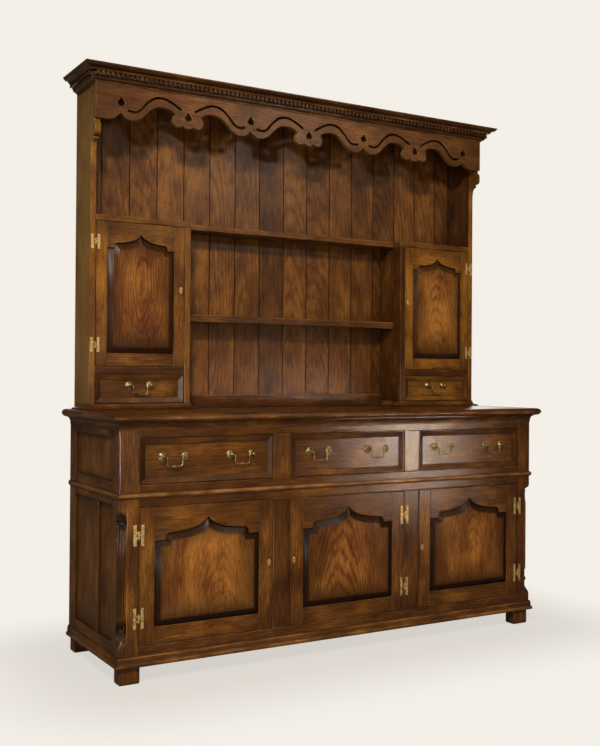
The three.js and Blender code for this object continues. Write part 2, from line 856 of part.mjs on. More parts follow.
function buildDoor(name, place, sizes) {
  const { left, right, bottom, top, face, hinged } = place;
  const centre = half(left + right);
  const pinX = hinged < 0 ? left : right;
  const xFrom = left + fitGap;
  const xTo = right - fitGap;
  const zFrom = bottom + fitGap;
  const zTo = top - fitGap;
  const back = face - doorThickness;
  const openHalf = half(right - left) - sizes.stile;
  const openBottom = bottom + sizes.bottomRail;
  const shoulder = top - sizes.shoulderDrop;
  const opening = archedShape(centre, openBottom, openHalf, shoulder, sizes.rise);
  const rebateTop = shoulder + sizes.rise + rebateWidth;
  const rebateFace = back + rebateDepth;
  const rebate = block(
    centre - openHalf - rebateWidth,
    centre + openHalf + rebateWidth,
    back - cutOverrun,
    rebateFace,
    openBottom - rebateWidth,
    rebateTop,
  );

  const keyX = centre - hinged * (half(right - left) - escutcheonFromEdge);
  const keyZ = bottom + (top - bottom) * sizes.keyShare;
  const plate = alongDepth(
    ellipseShape(keyX, keyZ, escutcheonWidth, escutcheonHeight),
    face - seamLap,
    face + escutcheonThickness,
  );
  const keyhole = (shape) => alongDepth(shape, face - keyholeDepth, face + cutOverrun);
  const keySlot = block(
    keyX - half(keyholeSlotWidth),
    keyX + half(keyholeSlotWidth),
    face - keyholeDepth,
    face + cutOverrun,
    keyZ - keyholeSlotLength,
    keyZ,
  );

  let frame = block(xFrom, xTo, back, face, zFrom, zTo)
    .subtract(alongDepth(opening, back - cutOverrun, face + cutOverrun))
    .subtract(rebate)
    .add(plate)
    .subtract(keyhole(ellipseShape(keyX, keyZ, 2 * keyholeRadius, 2 * keyholeRadius)))
    .subtract(keySlot);
  const hingePlaces = { upper: top - sizes.hingeFromTop, lower: bottom + sizes.hingeFromBottom };
  for (const [level, middle] of Object.entries(hingePlaces)) {
    const { fixedLeaf, doorLeaf } = hingeParts(pinX, -hinged, face, middle, sizes.hinge);
    frame = frame.add(doorLeaf);
    addPiece(`${name}_${level}_hinge`, fixedLeaf, brass);
  }
  addPiece(`${name}_frame`, frame, oak);

  const panel = block(
    centre - openHalf - rebateWidth + panelSeatGap,
    centre + openHalf + rebateWidth - panelSeatGap,
    rebateFace - panelThickness,
    rebateFace,
    openBottom - rebateWidth + panelSeatGap,
    rebateTop - panelSeatGap,
  );
  const field = alongDepth(archedShape(
    centre,
    openBottom + panelFieldMargin,
    openHalf - panelFieldMargin,
    shoulder - panelFieldMargin,
    sizes.rise - panelArchLoss,
  ), rebateFace - seamLap, rebateFace + panelFieldRise);
  addPiece(`${name}_panel`, panel.add(field), panelOak);
}

const baseDoorSizes = {
  stile: doorStileWidth,
  bottomRail: doorBottomRailHeight,
  shoulderDrop: doorShoulderDrop,
  rise: doorArchRise,
  keyShare: escutcheonHeightShare,
  hingeFromTop,
  hingeFromBottom,
  hinge: { height: hingeHeight, halfWidth: hingeHalfWidth, leafWidth: hingeLeafWidth },
};
const rackDoorSizes = {
  stile: rackDoorStileWidth,
  bottomRail: rackDoorBottomRailHeight,
  shoulderDrop: rackDoorShoulderDrop,
  rise: rackDoorArchRise,
  keyShare: rackEscutcheonHeightShare,
  hingeFromTop: rackHingeFromTop,
  hingeFromBottom: rackHingeFromBottom,
  hinge: { height: rackHingeHeight, halfWidth: rackHingeHalfWidth, leafWidth: rackHingeLeafWidth },
};

// The left doors hang on their left, and the others on their right
for (const [bay, centre] of Object.entries(bayCentres)) {
  buildDoor(`base_${bay}_door`, {
    left: centre - half(openingWidth),
    right: centre + half(openingWidth),
    bottom: doorBottom,
    top: doorTop,
    face: caseDepth,
    hinged: bay === 'left' ? -1 : 1,
  }, baseDoorSizes);
}
for (const [hand, side] of [['left', -1], ['right', 1]]) {
  buildDoor(`rack_${hand}_door`, {
    left: side * cupboardCentre - half(cupboardWidth),
    right: side * cupboardCentre + half(cupboardWidth),
    bottom: rackDoorBottom,
    top: rackDoorTop,
    face: rackDepth,
    hinged: side,
  }, rackDoorSizes);
}

// Drawers and their handles
function handlePost(x, face, z) {
  const profile = [
    [0, -rosetteEdge],
    [rosetteRadius, -rosetteEdge],
    [rosetteRadius, rosetteEdge],
    [half(rosetteRadius), rosetteDome],
    [postRadius, rosetteDome],
    [postRadius, postReach - postBallRadius + half(postRadius)],
  ].map(([radius, reach]) => new THREE.Vector2(radius, reach));
  for (let step = 1; step < ballSteps; step += 1) {
    const angle = -half(Math.PI) + (step / ballSteps) * Math.PI;
    const radius = postBallRadius * Math.cos(angle);
    const reach = postReach + postBallRadius * Math.sin(angle);
    if (reach > profile[profile.length - 1].y && radius > 0) {
      profile.push(new THREE.Vector2(radius, reach));
    }
  }
  profile.push(new THREE.Vector2(0, postReach + postBallRadius));
  const geometry = new THREE.LatheGeometry(profile, roundSides);
  geometry.rotateX(Math.PI);
  geometry.translate(x, yAt(face), z);
  return solid(geometry);
}

function wireAcross(xFrom, xTo, depth, z, radius) {
  const geometry = new THREE.CylinderGeometry(radius, radius, xTo - xFrom, wireSides);
  geometry.rotateZ(half(Math.PI));
  geometry.translate(half(xFrom + xTo), yAt(depth), z);
  return solid(geometry);
}

// The bail's ends run straight through the posts, which it turns in; it drops from swan-neck shoulders
function bail(centre, face, z, spacing) {
  const endX = half(spacing) + bailEndLap;
  const bendX = half(spacing) - postBallRadius - bailWireRadius;
  const legX = half(spacing) - bailLegInset;
  const barX = legX - bailCornerRadius;
  const cornerRise = bailCornerRadius - bailDrop;
  const at = (x, rise) => new THREE.Vector3(x, 0, rise);
  const path = new THREE.CurvePath();
  const line = (from, to) => path.add(new THREE.LineCurve3(from, to));
  const bend = (from, corner, to) => path.add(new THREE.QuadraticBezierCurve3(from, corner, to));
  line(at(-endX, 0), at(-bendX, 0));
  bend(at(-bendX, 0), at(-legX, 0), at(-legX, -bailShoulderDrop));
  line(at(-legX, -bailShoulderDrop), at(-legX, cornerRise));
  bend(at(-legX, cornerRise), at(-legX, -bailDrop), at(-barX, -bailDrop));
  line(at(-barX, -bailDrop), at(barX, -bailDrop));
  bend(at(barX, -bailDrop), at(legX, -bailDrop), at(legX, cornerRise));
  line(at(legX, cornerRise), at(legX, -bailShoulderDrop));
  bend(at(legX, -bailShoulderDrop), at(legX, 0), at(bendX, 0));
  line(at(bendX, 0), at(endX, 0));
  const section = new THREE.Shape();
  section.absarc(0, 0, bailWireRadius, 0, 2 * Math.PI, false);
  const geometry = new THREE.ExtrudeGeometry(section, {
    steps: bailSteps,
    curveSegments: half(wireSides),
    extrudePath: path,
  });
  geometry.translate(centre, yAt(face + postReach), z);
  return solid(geometry);
}

function buildDrawer(name, place, handles) {
  const { left, right, bottom, top, caseFace, boxBack } = place;
  const face = caseFace - drawerRecess;
  const fieldFace = face - drawerFieldDepth;
  const xFrom = left + fitGap;
  const xTo = right - fitGap;
  const zFrom = bottom + fitGap;
  const zTo = top - fitGap;
  const frontBack = face - drawerFrontThickness;
  const bevelled = (from, to) => [
    [from, face],
    [from + drawerBevelWidth, fieldFace],
    [to - drawerBevelWidth, fieldFace],
    [to, face],
    [to, face + cutOverrun],
    [from, face + cutOverrun],
  ];
  const sunkAcross = polygon(bevelled(xFrom + drawerLip, xTo - drawerLip));
  const sunkUp = polygon(bevelled(zFrom + drawerLip, zTo - drawerLip).map(([z, depth]) => [depth, z]));
  const sunkField = alongHeight(sunkAcross, zFrom, zTo).intersect(alongWidth(sunkUp, xFrom, xTo));
  const front = block(xFrom, xTo, frontBack, face, zFrom, zTo).subtract(sunkField);

  const boxLeft = left + drawerSideGap;
  const boxRight = right - drawerSideGap;
  const boxFloor = bottom + drawerRunClearance;
  const boxTop = top - drawerTopClearance;
  const box = block(boxLeft, boxRight, boxBack, frontBack + drawerFrontLap, boxFloor, boxTop);
  const inside = block(
    boxLeft + drawerSideThickness,
    boxRight - drawerSideThickness,
    boxBack + drawerSideThickness,
    frontBack,
    boxFloor + drawerBottomThickness,
    boxTop + cutOverrun,
  );
  let drawer = front.add(box.subtract(inside));
  const z = bottom + (top - bottom) * handles.heightShare;
  for (const [bailName, centre] of Object.entries(handles.centres)) {
    for (const side of [-1, 1]) {
      const postX = centre + side * half(handles.spacing);
      drawer = drawer.add(handlePost(postX, fieldFace, z)).subtract(wireAcross(
        postX - 2 * postBallRadius,
        postX + 2 * postBallRadius,
        fieldFace + postReach,
        z,
        bailWireRadius + bailBoreClearance,
      ));
    }
    addPiece(bailName, bail(centre, fieldFace, z, handles.spacing), brass);
  }
  addPiece(name, drawer, oak);
}

for (const [bay, centre] of Object.entries(bayCentres)) {
  buildDrawer(`base_${bay}_drawer`, {
    left: centre - half(openingWidth),
    right: centre + half(openingWidth),
    bottom: drawerFloor,
    top: drawerTop,
    caseFace: caseDepth,
    boxBack: backThickness + drawerBackClearance,
  }, {
    heightShare: handleHeightShare,
    spacing: handleSpacing,
    centres: {
      [`base_${bay}_drawer_left_bail`]: centre - handleOffset,
      [`base_${bay}_drawer_right_bail`]: centre + handleOffset,
    },
  });
}
for (const [hand, side] of [['left', -1], ['right', 1]]) {
  buildDrawer(`rack_${hand}_drawer`, {
    left: side * cupboardCentre - half(cupboardWidth),
    right: side * cupboardCentre + half(cupboardWidth),
    bottom: rackDrawerFloor,
    top: rackDrawerTop,
    caseFace: rackDepth,
    boxBack: rackBackThickness + drawerBackClearance,
  }, {
    heightShare: rackHandleHeightShare,
    spacing: rackHandleSpacing,
    centres: { [`rack_${hand}_drawer_bail`]: side * cupboardCentre },
  });
}

export default dresser;
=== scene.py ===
# Looks of an oak welsh dresser, built around its CAD model
import math
import random

import bmesh
import bpy
from mathutils import Matrix, Vector


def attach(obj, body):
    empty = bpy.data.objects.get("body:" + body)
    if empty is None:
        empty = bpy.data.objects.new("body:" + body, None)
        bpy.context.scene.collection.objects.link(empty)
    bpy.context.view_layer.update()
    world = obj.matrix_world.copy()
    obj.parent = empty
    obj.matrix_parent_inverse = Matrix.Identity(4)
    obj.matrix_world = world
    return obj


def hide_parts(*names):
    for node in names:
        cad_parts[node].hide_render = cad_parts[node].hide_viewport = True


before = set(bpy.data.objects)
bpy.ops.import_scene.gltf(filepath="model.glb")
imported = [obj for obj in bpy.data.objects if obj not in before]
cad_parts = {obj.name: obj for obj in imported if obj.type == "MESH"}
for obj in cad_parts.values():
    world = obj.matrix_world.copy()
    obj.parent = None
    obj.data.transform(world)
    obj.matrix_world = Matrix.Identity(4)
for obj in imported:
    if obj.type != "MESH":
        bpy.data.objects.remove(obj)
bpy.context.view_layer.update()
dice = random.Random(417)
print("stage: frame loaded,", len(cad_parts), "nodes")

# Sizes are in millimetres: x across, depth from the back plane, z up
mm = 0.001
backPlane = 264

case = {"half": 860, "depth": 496, "frameBack": 470, "inner": 838, "backThick": 10,
        "frameInner": 795, "bayStile": 276, "bayStileHalf": 33}
levels = {
    "foot": 56, "bottomBoard": 100, "doorBottom": 118, "doorTop": 559, "deck": 612,
    "drawerFloor": 628, "drawerTop": 779, "caseTop": 835, "table": 856, "rackDrawerFloor": 877,
    "rackDrawerTop": 982, "rackDoorBottom": 1006, "middleShelf": 1176, "rackDoorTop": 1512,
    "upperShelf": 1532, "friezeBottom": 1854, "boardTop": 2010,
}
bays = {"left": -552, "middle": 0, "right": 552}
bayHalf = 243
rack = {"half": 847, "inner": 827, "depth": 156, "frieze": 202, "uprightOuter": 491,
        "uprightInner": 469, "cupCentre": 659, "cupHalf": 168, "shelfBack": 12, "shelfFront": 109}


def place(x, depth, z):
    return (x * mm, (backPlane - depth) * mm, z * mm)


def titled(name):
    return name.replace("_", " ").title().replace(" ", "")


def linear(hexColor):
    parts = [int(hexColor[i:i + 2], 16) / 255 for i in (0, 2, 4)]
    return [c / 12.92 if c <= 0.04045 else ((c + 0.055) / 1.055) ** 2.4 for c in parts] + [1.0]


# materials

def wire(tree, source, target):
    tree.links.new(source, target)


def addNode(tree, kind, inputs=None, **settings):
    node = tree.nodes.new(kind)
    for key, value in settings.items():
        setattr(node, key, value)
    for key, value in (inputs or {}).items():
        if isinstance(value, bpy.types.NodeSocket):
            wire(tree, value, node.inputs[key])
        else:
            node.inputs[key].default_value = value
    return node


def math1(tree, operation, first, second=0.0, clamp=False):
    node = addNode(tree, "ShaderNodeMath", {0: first, 1: second}, operation=operation)
    node.use_clamp = clamp
    return node.outputs[0]


def ramp(tree, value, stops):
    node = addNode(tree, "ShaderNodeValToRGB", {0: value})
    points = node.color_ramp.elements
    while len(points) < len(stops):
        points.new(0.5)
    for point, (at, color) in zip(points, stops):
        point.position = at
        point.color = color if isinstance(color, list) else [color, color, color, 1]
    return node.outputs[0]


def mixColor(tree, factor, first, second, blend="MIX"):
    node = addNode(tree, "ShaderNodeMix", data_type="RGBA", blend_type=blend)
    for index, value in ((0, factor), (6, first), (7, second)):
        if isinstance(value, bpy.types.NodeSocket):
            wire(tree, value, node.inputs[index])
        else:
            node.inputs[index].default_value = value
    return node.outputs[2]


# ring is the width of a growth ring in metres; edge and ends say where stain and painted shade start
# to gather, as shares of half a board, and shadow how much; slope is how far a board's rings lean, and
# how much that differs from board to board
oakLooks = {
    "oak": {
        "dark": "2a1304", "base": "5a3411", "light": "94601f", "ring": 0.011, "gloss": 0.26,
        "shine": 0.26, "tone": 0.08, "shadow": 0.6, "figure": 0.22, "streak": 0.3,
        "edge": 0.5, "rub": 0.62, "slope": (0.03, 0.07)},
    # the panel's darker edges and ends are stain and painted shade, most of it under the arch
    "panelOak": {
        "dark": "260f03", "base": "693b16", "light": "a16a2c", "ring": 0.008, "gloss": 0.32,
        "shine": 0.15, "tone": 0.05, "shadow": 1.3, "figure": 1.3, "streak": 0.5,
        "edge": 0.36, "rub": 0.0, "slope": (0.12, 0.14), "ends": 0.42},
    # the back boards' darker ends are painted shade; at the top it is the shadow under the frieze
    "backOak": {
        "dark": "261305", "base": "5a3513", "light": "8a5822", "ring": 0.012, "gloss": 0.32,
        "shine": 0.2, "tone": 0.16, "shadow": 0.8, "figure": 0.8, "streak": 0.5,
        "edge": 0.93, "rub": 0.3, "slope": (0.06, 0.12), "ends": 0.5},
    "friezeOak": {
        "dark": "30180a", "base": "5f3815", "light": "8a5829", "ring": 0.018, "gloss": 0.3,
        "shine": 0.28, "tone": 0.05, "shadow": 0.5, "figure": 0.3, "streak": 0.7,
        "edge": 0.5, "rub": 0.6, "slope": (0.03, 0.05)},
    "sideOak": {
        "dark": "3f2b0f", "base": "7d5a29", "light": "93713e", "ring": 0.012, "gloss": 0.4,
        "shine": 0.2, "tone": 0.05, "shadow": 0.4, "figure": 0.3, "streak": 0.5,
        "edge": 0.5, "rub": 0.3, "slope": (0.03, 0.05)},
    # the oak of the ends and side returns is a little darker than the front's, partly as painted shade
    "endOak": {
        "dark": "2b1a08", "base": "5a3715", "light": "7a5222", "ring": 0.012, "gloss": 0.36,
        "shine": 0.1, "tone": 0.06, "shadow": 0.8, "figure": 0.5, "streak": 0.7,
        "edge": 0.6, "rub": 0.12, "slope": (0.03, 0.07)},
    "innerOak": {
        "dark": "3c2815", "base": "5f4426", "light": "785a36", "ring": 0.012, "gloss": 0.55,
        "shine": 0.25, "tone": 0.08, "shadow": 0.3, "figure": 0.4, "streak": 0.6,
        "edge": 0.5, "rub": 0.2, "slope": (0.05, 0.1)},
}
# how fine each pattern is: across the board, along it, and through it
oakPatterns = {"wander": (6, 1.3, 6), "shiver": (90, 9, 90), "fibre": (380, 14, 380),
               "streak": (150, 6, 150), "pore": (800, 40, 800), "cloud": (14, 6.5, 14)}
oakShifts = {"wander": (0.03, 0.0, 0.05), "shiver": (0.006, 0.0, 0.01), "across": 0.14, "along": 1.3,
             "pith": 0.0006}
oakStainsAndPaintedLight = {"pore": "1c0e05", "edge": "2a1405", "wornAndHighlit": "a8743c", "wax": "140b06", "corner": "180c05"}
# how much each pattern moves the colour, the roughness and the bump
oakWeights = {"fibre": 0.6, "cloud": 1.2, "ring": 0.36, "ringLift": 0.1, "start": 0.35, "pore": 0.45,
              "side": 0.8, "mottle": 0.44, "waxMottle": 0.34, "waxGloss": 0.06, "bump": 0.35,
              "bumpHeight": 0.0006, "cornerReach": 0.014, "corner": 0.7}


def scaled(tree, vector, factors):
    node = addNode(tree, "ShaderNodeVectorMath", {0: vector, 1: factors}, operation="MULTIPLY")
    return node.outputs[0]


def noise(tree, vector, detail, roughness=0.5):
    return addNode(tree, "ShaderNodeTexNoise", {"Vector": vector, "Scale": 1.0, "Detail": detail,
                                                "Roughness": roughness})


def muladd(tree, value, factor, extra):
    node = addNode(tree, "ShaderNodeMath", {0: value, 1: factor, 2: extra}, operation="MULTIPLY_ADD")
    return node.outputs[0]


# darkening by ambient occlusion: dirt and painted shade in corners, recesses and next to other parts
def nookDirtAndShade(tree, reach, amount):
    near = addNode(tree, "ShaderNodeAmbientOcclusion", {"Distance": reach}, samples=4)
    return math1(tree, "MULTIPLY", ramp(tree, near.outputs["AO"], [(0.3, 1.0), (0.82, 0.0)]), amount)


def makeOak(name, look):
    material = bpy.data.materials.new(name)
    material.use_nodes = True
    tree = material.node_tree
    shader = tree.nodes["Principled BSDF"]
    grain = addNode(tree, "ShaderNodeAttribute", attribute_name="grain").outputs["Vector"]
    shade = addNode(tree, "ShaderNodeAttribute", attribute_name="shade").outputs["Vector"]
    tone = addNode(tree, "ShaderNodeAttribute", attribute_name="tone").outputs["Fac"]
    wear = addNode(tree, "ShaderNodeAttribute", attribute_name="wear").outputs["Fac"]
    shadeParts = addNode(tree, "ShaderNodeSeparateXYZ", {0: shade})
    luck = addNode(tree, "ShaderNodeTexWhiteNoise", {"W": math1(tree, "MULTIPLY", tone, 57.0)},
                   noise_dimensions="1D").outputs["Color"]
    lucks = addNode(tree, "ShaderNodeSeparateXYZ", {0: luck}).outputs

    def pattern(name, *detail):
        return noise(tree, scaled(tree, grain, oakPatterns[name]), *detail)

    # the growth rings wander slowly along the board and shiver a little across it
    wander = pattern("wander", 2.0).outputs["Color"]
    shiver = pattern("shiver", 3.0).outputs["Color"]
    moved = grain
    for name, color in (("wander", wander), ("shiver", shiver)):
        centred = addNode(tree, "ShaderNodeVectorMath", {0: color, 1: (0.5, 0.5, 0.5)},
                          operation="SUBTRACT")
        moved = addNode(tree, "ShaderNodeVectorMath", {0: centred.outputs[0], 1: oakShifts[name], 2: moved},
                        operation="MULTIPLY_ADD").outputs[0]
    parts = addNode(tree, "ShaderNodeSeparateXYZ", {0: moved}).outputs
    # each board is stored with whole offsets, so what is left after rounding is the place on it
    across = math1(tree, "SUBTRACT", parts[0], math1(tree, "ROUND", parts[0]))
    aside = muladd(tree, lucks[0], oakShifts["across"], -oakShifts["across"] / 2)
    across = math1(tree, "ADD", across, aside)
    steps = math1(tree, "ROUND", math1(tree, "MULTIPLY", parts[1], 0.25))
    along = math1(tree, "SUBTRACT", parts[1], math1(tree, "MULTIPLY", steps, 4.0))
    onward = muladd(tree, lucks[1], oakShifts["along"], -oakShifts["along"] / 2)
    along = math1(tree, "ADD", along, onward)
    slope = muladd(tree, lucks[2], look["slope"][1], look["slope"][0])
    depth = math1(tree, "MULTIPLY", along, slope)
    depth = math1(tree, "SQRT", muladd(tree, depth, depth, oakShifts["pith"]))
    through = math1(tree, "SUBTRACT", parts[2], math1(tree, "ROUND", parts[2]))
    depth = math1(tree, "ADD", depth, through)
    radius = math1(tree, "SQRT", math1(tree, "ADD", math1(tree, "MULTIPLY", across, across),
                                       math1(tree, "MULTIPLY", depth, depth)))
    turns = math1(tree, "FRACT", math1(tree, "MULTIPLY", radius, 1 / look["ring"]))
    ringLine = ramp(tree, turns, [(0.0, 1.0), (0.16, 0.7), (0.42, 0.0), (0.9, 0.05), (1.0, 1.0)])

    fibre = pattern("fibre", 4.0, 0.7).outputs["Fac"]
    streak = pattern("streak", 3.0, 0.65).outputs["Fac"]
    pore = pattern("pore", 1.0).outputs["Fac"]
    cloud = pattern("cloud", 4.0, 0.6).outputs["Fac"]
    # some boards show their rings and some hardly do
    figure = look["figure"]
    broken = math1(tree, "MULTIPLY", ringLine, ramp(tree, streak, [(0.36, 0.25), (0.6, 1.0)]))
    broken = math1(tree, "MULTIPLY", broken, ramp(tree, lucks[0], [(0.25, 0.4), (0.6, 1.0)]))
    weights = oakWeights
    start = weights["ringLift"] * figure - weights["start"] - 0.5 * look["streak"]
    value = muladd(tree, broken, -weights["ring"] * figure, start)
    value = muladd(tree, fibre, weights["fibre"], value)
    value = muladd(tree, streak, look["streak"], value)
    value = muladd(tree, cloud, weights["cloud"], value)
    value = math1(tree, "SUBTRACT", value, 0.05)
    value = muladd(tree, tone, look["tone"], value)
    color = ramp(tree, value, [(0.12, linear(look["dark"])), (0.55, linear(look["base"])),
                               (0.95, linear(look["light"]))])
    poreMask = math1(tree, "MULTIPLY", ramp(tree, pore, [(0.36, 1.0), (0.46, 0.0)]), weights["pore"])
    color = mixColor(tree, poreMask, color, linear(oakStainsAndPaintedLight["pore"]))

    # stain and painted shade gather towards the ends and edges of each board
    sides, ends = look["edge"], look.get("ends", 0.6)
    edgeAcross = ramp(tree, math1(tree, "ABSOLUTE", shadeParts.outputs[0]), [(sides, 0.0), (1.0, 1.0)])
    edgeAlong = ramp(tree, math1(tree, "ABSOLUTE", shadeParts.outputs[1]), [(ends, 0.0), (1.0, 1.0)])
    edge = math1(tree, "MAXIMUM", math1(tree, "MULTIPLY", edgeAcross, weights["side"]), edgeAlong)
    edge = math1(tree, "MULTIPLY", edge, math1(tree, "ADD", cloud, 0.35), clamp=True)
    edge = math1(tree, "MULTIPLY", edge, look["shadow"])
    color = mixColor(tree, edge, color, linear(oakStainsAndPaintedLight["edge"]))
    # arrises are painted lighter, as wear and painted highlight
    wornAndHighlit = math1(tree, "MULTIPLY", wear, ramp(tree, cloud, [(0.42, 0.1), (0.62, look["rub"])]))
    color = mixColor(tree, wornAndHighlit, color, linear(oakStainsAndPaintedLight["wornAndHighlit"]))
    # the shade attribute's third part darkens towards the wax colour: stain in most places, painted shade
    # on the cornice, dentils, drawer slopes, column stops and inner sheets
    stain = shadeParts.outputs[2]
    color = mixColor(tree, stain, color, linear(oakStainsAndPaintedLight["wax"]))
    # old wax and dirt, and painted shade, darken the corners and recesses found by occlusion
    corners = nookDirtAndShade(tree, weights["cornerReach"], weights["corner"])
    color = mixColor(tree, corners, color, linear(oakStainsAndPaintedLight["corner"]))
    wire(tree, color, shader.inputs["Base Color"])

    mottle = math1(tree, "SUBTRACT", fibre, 0.5)
    mottle = math1(tree, "MULTIPLY", mottle, muladd(tree, stain, -weights["waxMottle"], weights["mottle"]))
    roughness = math1(tree, "ADD", mottle, muladd(tree, stain, -weights["waxGloss"], look["gloss"]))
    wire(tree, roughness, shader.inputs["Roughness"])
    shader.inputs["Specular IOR Level"].default_value = look["shine"]
    height = math1(tree, "SUBTRACT", math1(tree, "MULTIPLY", fibre, 0.5), poreMask)
    bump = addNode(tree, "ShaderNodeBump", {"Height": height, "Strength": weights["bump"],
                                            "Distance": weights["bumpHeight"]})
    wire(tree, bump.outputs[0], shader.inputs["Normal"])
    return material


metalLooks = {
    "brass": {"bright": "c6aa6c", "dull": "3f3018", "gloss": 0.16, "metal": 0.8},
    "hingeBrass": {"bright": "e2c284", "dull": "a5803f", "gloss": 0.34, "metal": 0.7},
    "keyholeAndSlotShade": {"bright": "2c2214", "dull": "140e08", "gloss": 0.4, "metal": 0.9},
}
metalPatterns = {"patina": 160.0, "fine": 900.0, "mottle": 0.3, "cornerReach": 0.006, "corner": 0.8,
                 "dirtAndShade": "20180a"}


def makeMetal(name, look):
    material = bpy.data.materials.new(name)
    material.use_nodes = True
    tree = material.node_tree
    shader = tree.nodes["Principled BSDF"]
    where = addNode(tree, "ShaderNodeTexCoord").outputs["Object"]
    patina = addNode(tree, "ShaderNodeTexNoise", {"Vector": where, "Scale": metalPatterns["patina"],
                                                  "Detail": 4.0}).outputs["Fac"]
    worn = ramp(tree, patina, [(0.4, 0.0), (0.6, 1.0)])
    color = mixColor(tree, worn, linear(look["dull"]), linear(look["bright"]))
    # dirt and painted shade darken the metal's hollows and where it meets other parts
    corners = nookDirtAndShade(tree, metalPatterns["cornerReach"], metalPatterns["corner"])
    color = mixColor(tree, corners, color, linear(metalPatterns["dirtAndShade"]))
    wire(tree, color, shader.inputs["Base Color"])
    shader.inputs["Metallic"].default_value = look["metal"]
    wire(tree, muladd(tree, patina, metalPatterns["mottle"], look["gloss"]), shader.inputs["Roughness"])
    fine = addNode(tree, "ShaderNodeTexNoise", {"Vector": where, "Scale": metalPatterns["fine"],
                                                "Detail": 2.0}).outputs["Fac"]
    bump = addNode(tree, "ShaderNodeBump", {"Height": fine, "Strength": 0.2, "Distance": 0.0003})
    wire(tree, bump.outputs[0], shader.inputs["Normal"])
    return material


woods = {name: makeOak(name, look) for name, look in oakLooks.items()}
brass, hingeBrass, keyholeAndSlotShade = [makeMetal(name, look) for name, look in metalLooks.items()]
print("stage: materials made")


# mesh helpers, in millimetres

def startPiece(name):
    return {"name": name, "verts": [], "faces": [], "smooth": [], "slots": [], "materials": [],
            "grain": [], "shade": [], "tone": [], "wear": []}


def addShape(piece, material, verts, faces, along="z", stain=0.0, wear=0.0, tone=None, smooth=False,
             span=None, flip=1):
    base = len(piece["verts"])
    if material not in piece["materials"]:
        piece["materials"].append(material)
    slotIndex = piece["materials"].index(material)
    low = [min(v[i] for v in verts) for i in range(3)]
    high = [max(v[i] for v in verts) for i in range(3)]
    if span:
        low, high = span
    alongAxis = {"x": 0, "d": 1, "z": 2}[along]
    others = sorted((i for i in range(3) if i != alongAxis), key=lambda i: low[i] - high[i])
    order = [others[0], alongAxis, others[1]]
    centre = [(low[i] + high[i]) / 2 for i in order]
    half = [max((high[i] - low[i]) / 2, 0.01) for i in order]
    offset = (dice.randint(0, 9), 4 * dice.randint(0, 9), dice.randint(0, 9))
    boardTone = dice.uniform(-1, 1) if tone is None else tone
    for index, v in enumerate(verts):
        local = [v[i] - c for i, c in zip(order, centre)]
        local[1] *= flip
        piece["verts"].append(v)
        piece["grain"].append([n * mm + o for n, o in zip(local, offset)])
        amount = stain[index] if isinstance(stain, list) else stain
        piece["shade"].append([local[0] / half[0], local[1] / half[1], amount])
        piece["tone"].append(boardTone)
        piece["wear"].append(wear[index] if isinstance(wear, list) else wear)
    for face in faces:
        piece["faces"].append([base + i for i in face])
        piece["smooth"].append(smooth and len(face) < 5)
        piece["slots"].append(slotIndex)


def board(piece, material, x, depth, z, along, bevel=1.2, segments=2, **look):
    mesh = bmesh.new()
    bmesh.ops.create_cube(mesh, size=1)
    spans = [x, depth, z]
    for v in mesh.verts:
        v.co = Vector([(s[0] + s[1]) / 2 + c * (s[1] - s[0]) for s, c in zip(spans, v.co)])
    if bevel:
        bmesh.ops.bevel(mesh, geom=list(mesh.edges), offset=bevel, offset_type="OFFSET",
                        segments=segments, profile=0.5, affect="EDGES", clamp_overlap=True)
    mesh.verts.index_update()
    # only the points inside the rounding lie off every face, and they are the ones painted lighter, as wear
    # and painted highlight
    rounded = [1.0 if all(abs(abs(c - (s[0] + s[1]) / 2) - (s[1] - s[0]) / 2) > 0.01
                          for s, c in zip(spans, v.co)) else 0.0 for v in mesh.verts]
    look.setdefault("wear", rounded)
    addShape(piece, material, [tuple(v.co) for v in mesh.verts],
             [[v.index for v in f.verts] for f in mesh.faces], along, **look)
    mesh.free()


def loft(piece, material, rings, along="z", closed=False, caps=True, smooth=True, **look):
    count = len(rings[0])
    verts = [tuple(p) for ring in rings for p in ring]
    faces = []
    steps = len(rings) if closed else len(rings) - 1
    for r in range(steps):
        a, b = r * count, ((r + 1) % len(rings)) * count
        for i in range(count):
            j = (i + 1) % count
            faces.append([a + i, a + j, b + j, b + i])
    if caps and not closed:
        faces.append(list(range(count)))
        faces.append(list(range((len(rings) - 1) * count, len(rings) * count)))
    addShape(piece, material, verts, faces, along, smooth=smooth, **look)


def sweep(piece, material, profile, xLeft, xRight, depthFront, rear=0, returns=None, wornAndHighlit=(), **look):
    backLeft = [(xLeft - o, rear, z) for o, z in profile]
    frontLeft = [(xLeft - o, depthFront + o, z) for o, z in profile]
    frontRight = [(xRight + o, depthFront + o, z) for o, z in profile]
    backRight = [(xRight + o, rear, z) for o, z in profile]
    look["wear"] = [1.0 if any(low <= z <= high and o > reach for low, high, reach in wornAndHighlit) else 0.0
                    for o, z in profile] * 2
    loft(piece, returns or material, [backLeft, frontLeft], "d", **look)
    loft(piece, material, [frontLeft, frontRight], "x", **look)
    loft(piece, returns or material, [frontRight, backRight], "d", **look)


def arc(cx, cz, rx, rz, start, end, steps):
    return [(cx + rx * math.cos(math.radians(start + (end - start) * i / steps)),
             cz + rz * math.sin(math.radians(start + (end - start) * i / steps)))
            for i in range(steps + 1)]


def bend(start, corner, end, steps):
    points = []
    for i in range(1, steps + 1):
        t = i / steps
        points.append(tuple((1 - t) ** 2 * a + 2 * t * (1 - t) * b + t * t * c
                            for a, b, c in zip(start, corner, end)))
    return points


def cubic(start, first, second, end, steps):
    points = []
    for i in range(1, steps + 1):
        t = i / steps
        u = 1 - t
        points.append(tuple(u ** 3 * a + 3 * u * u * t * b + 3 * u * t * t * c + t ** 3 * d
                            for a, b, c, d in zip(start, first, second, end)))
    return points


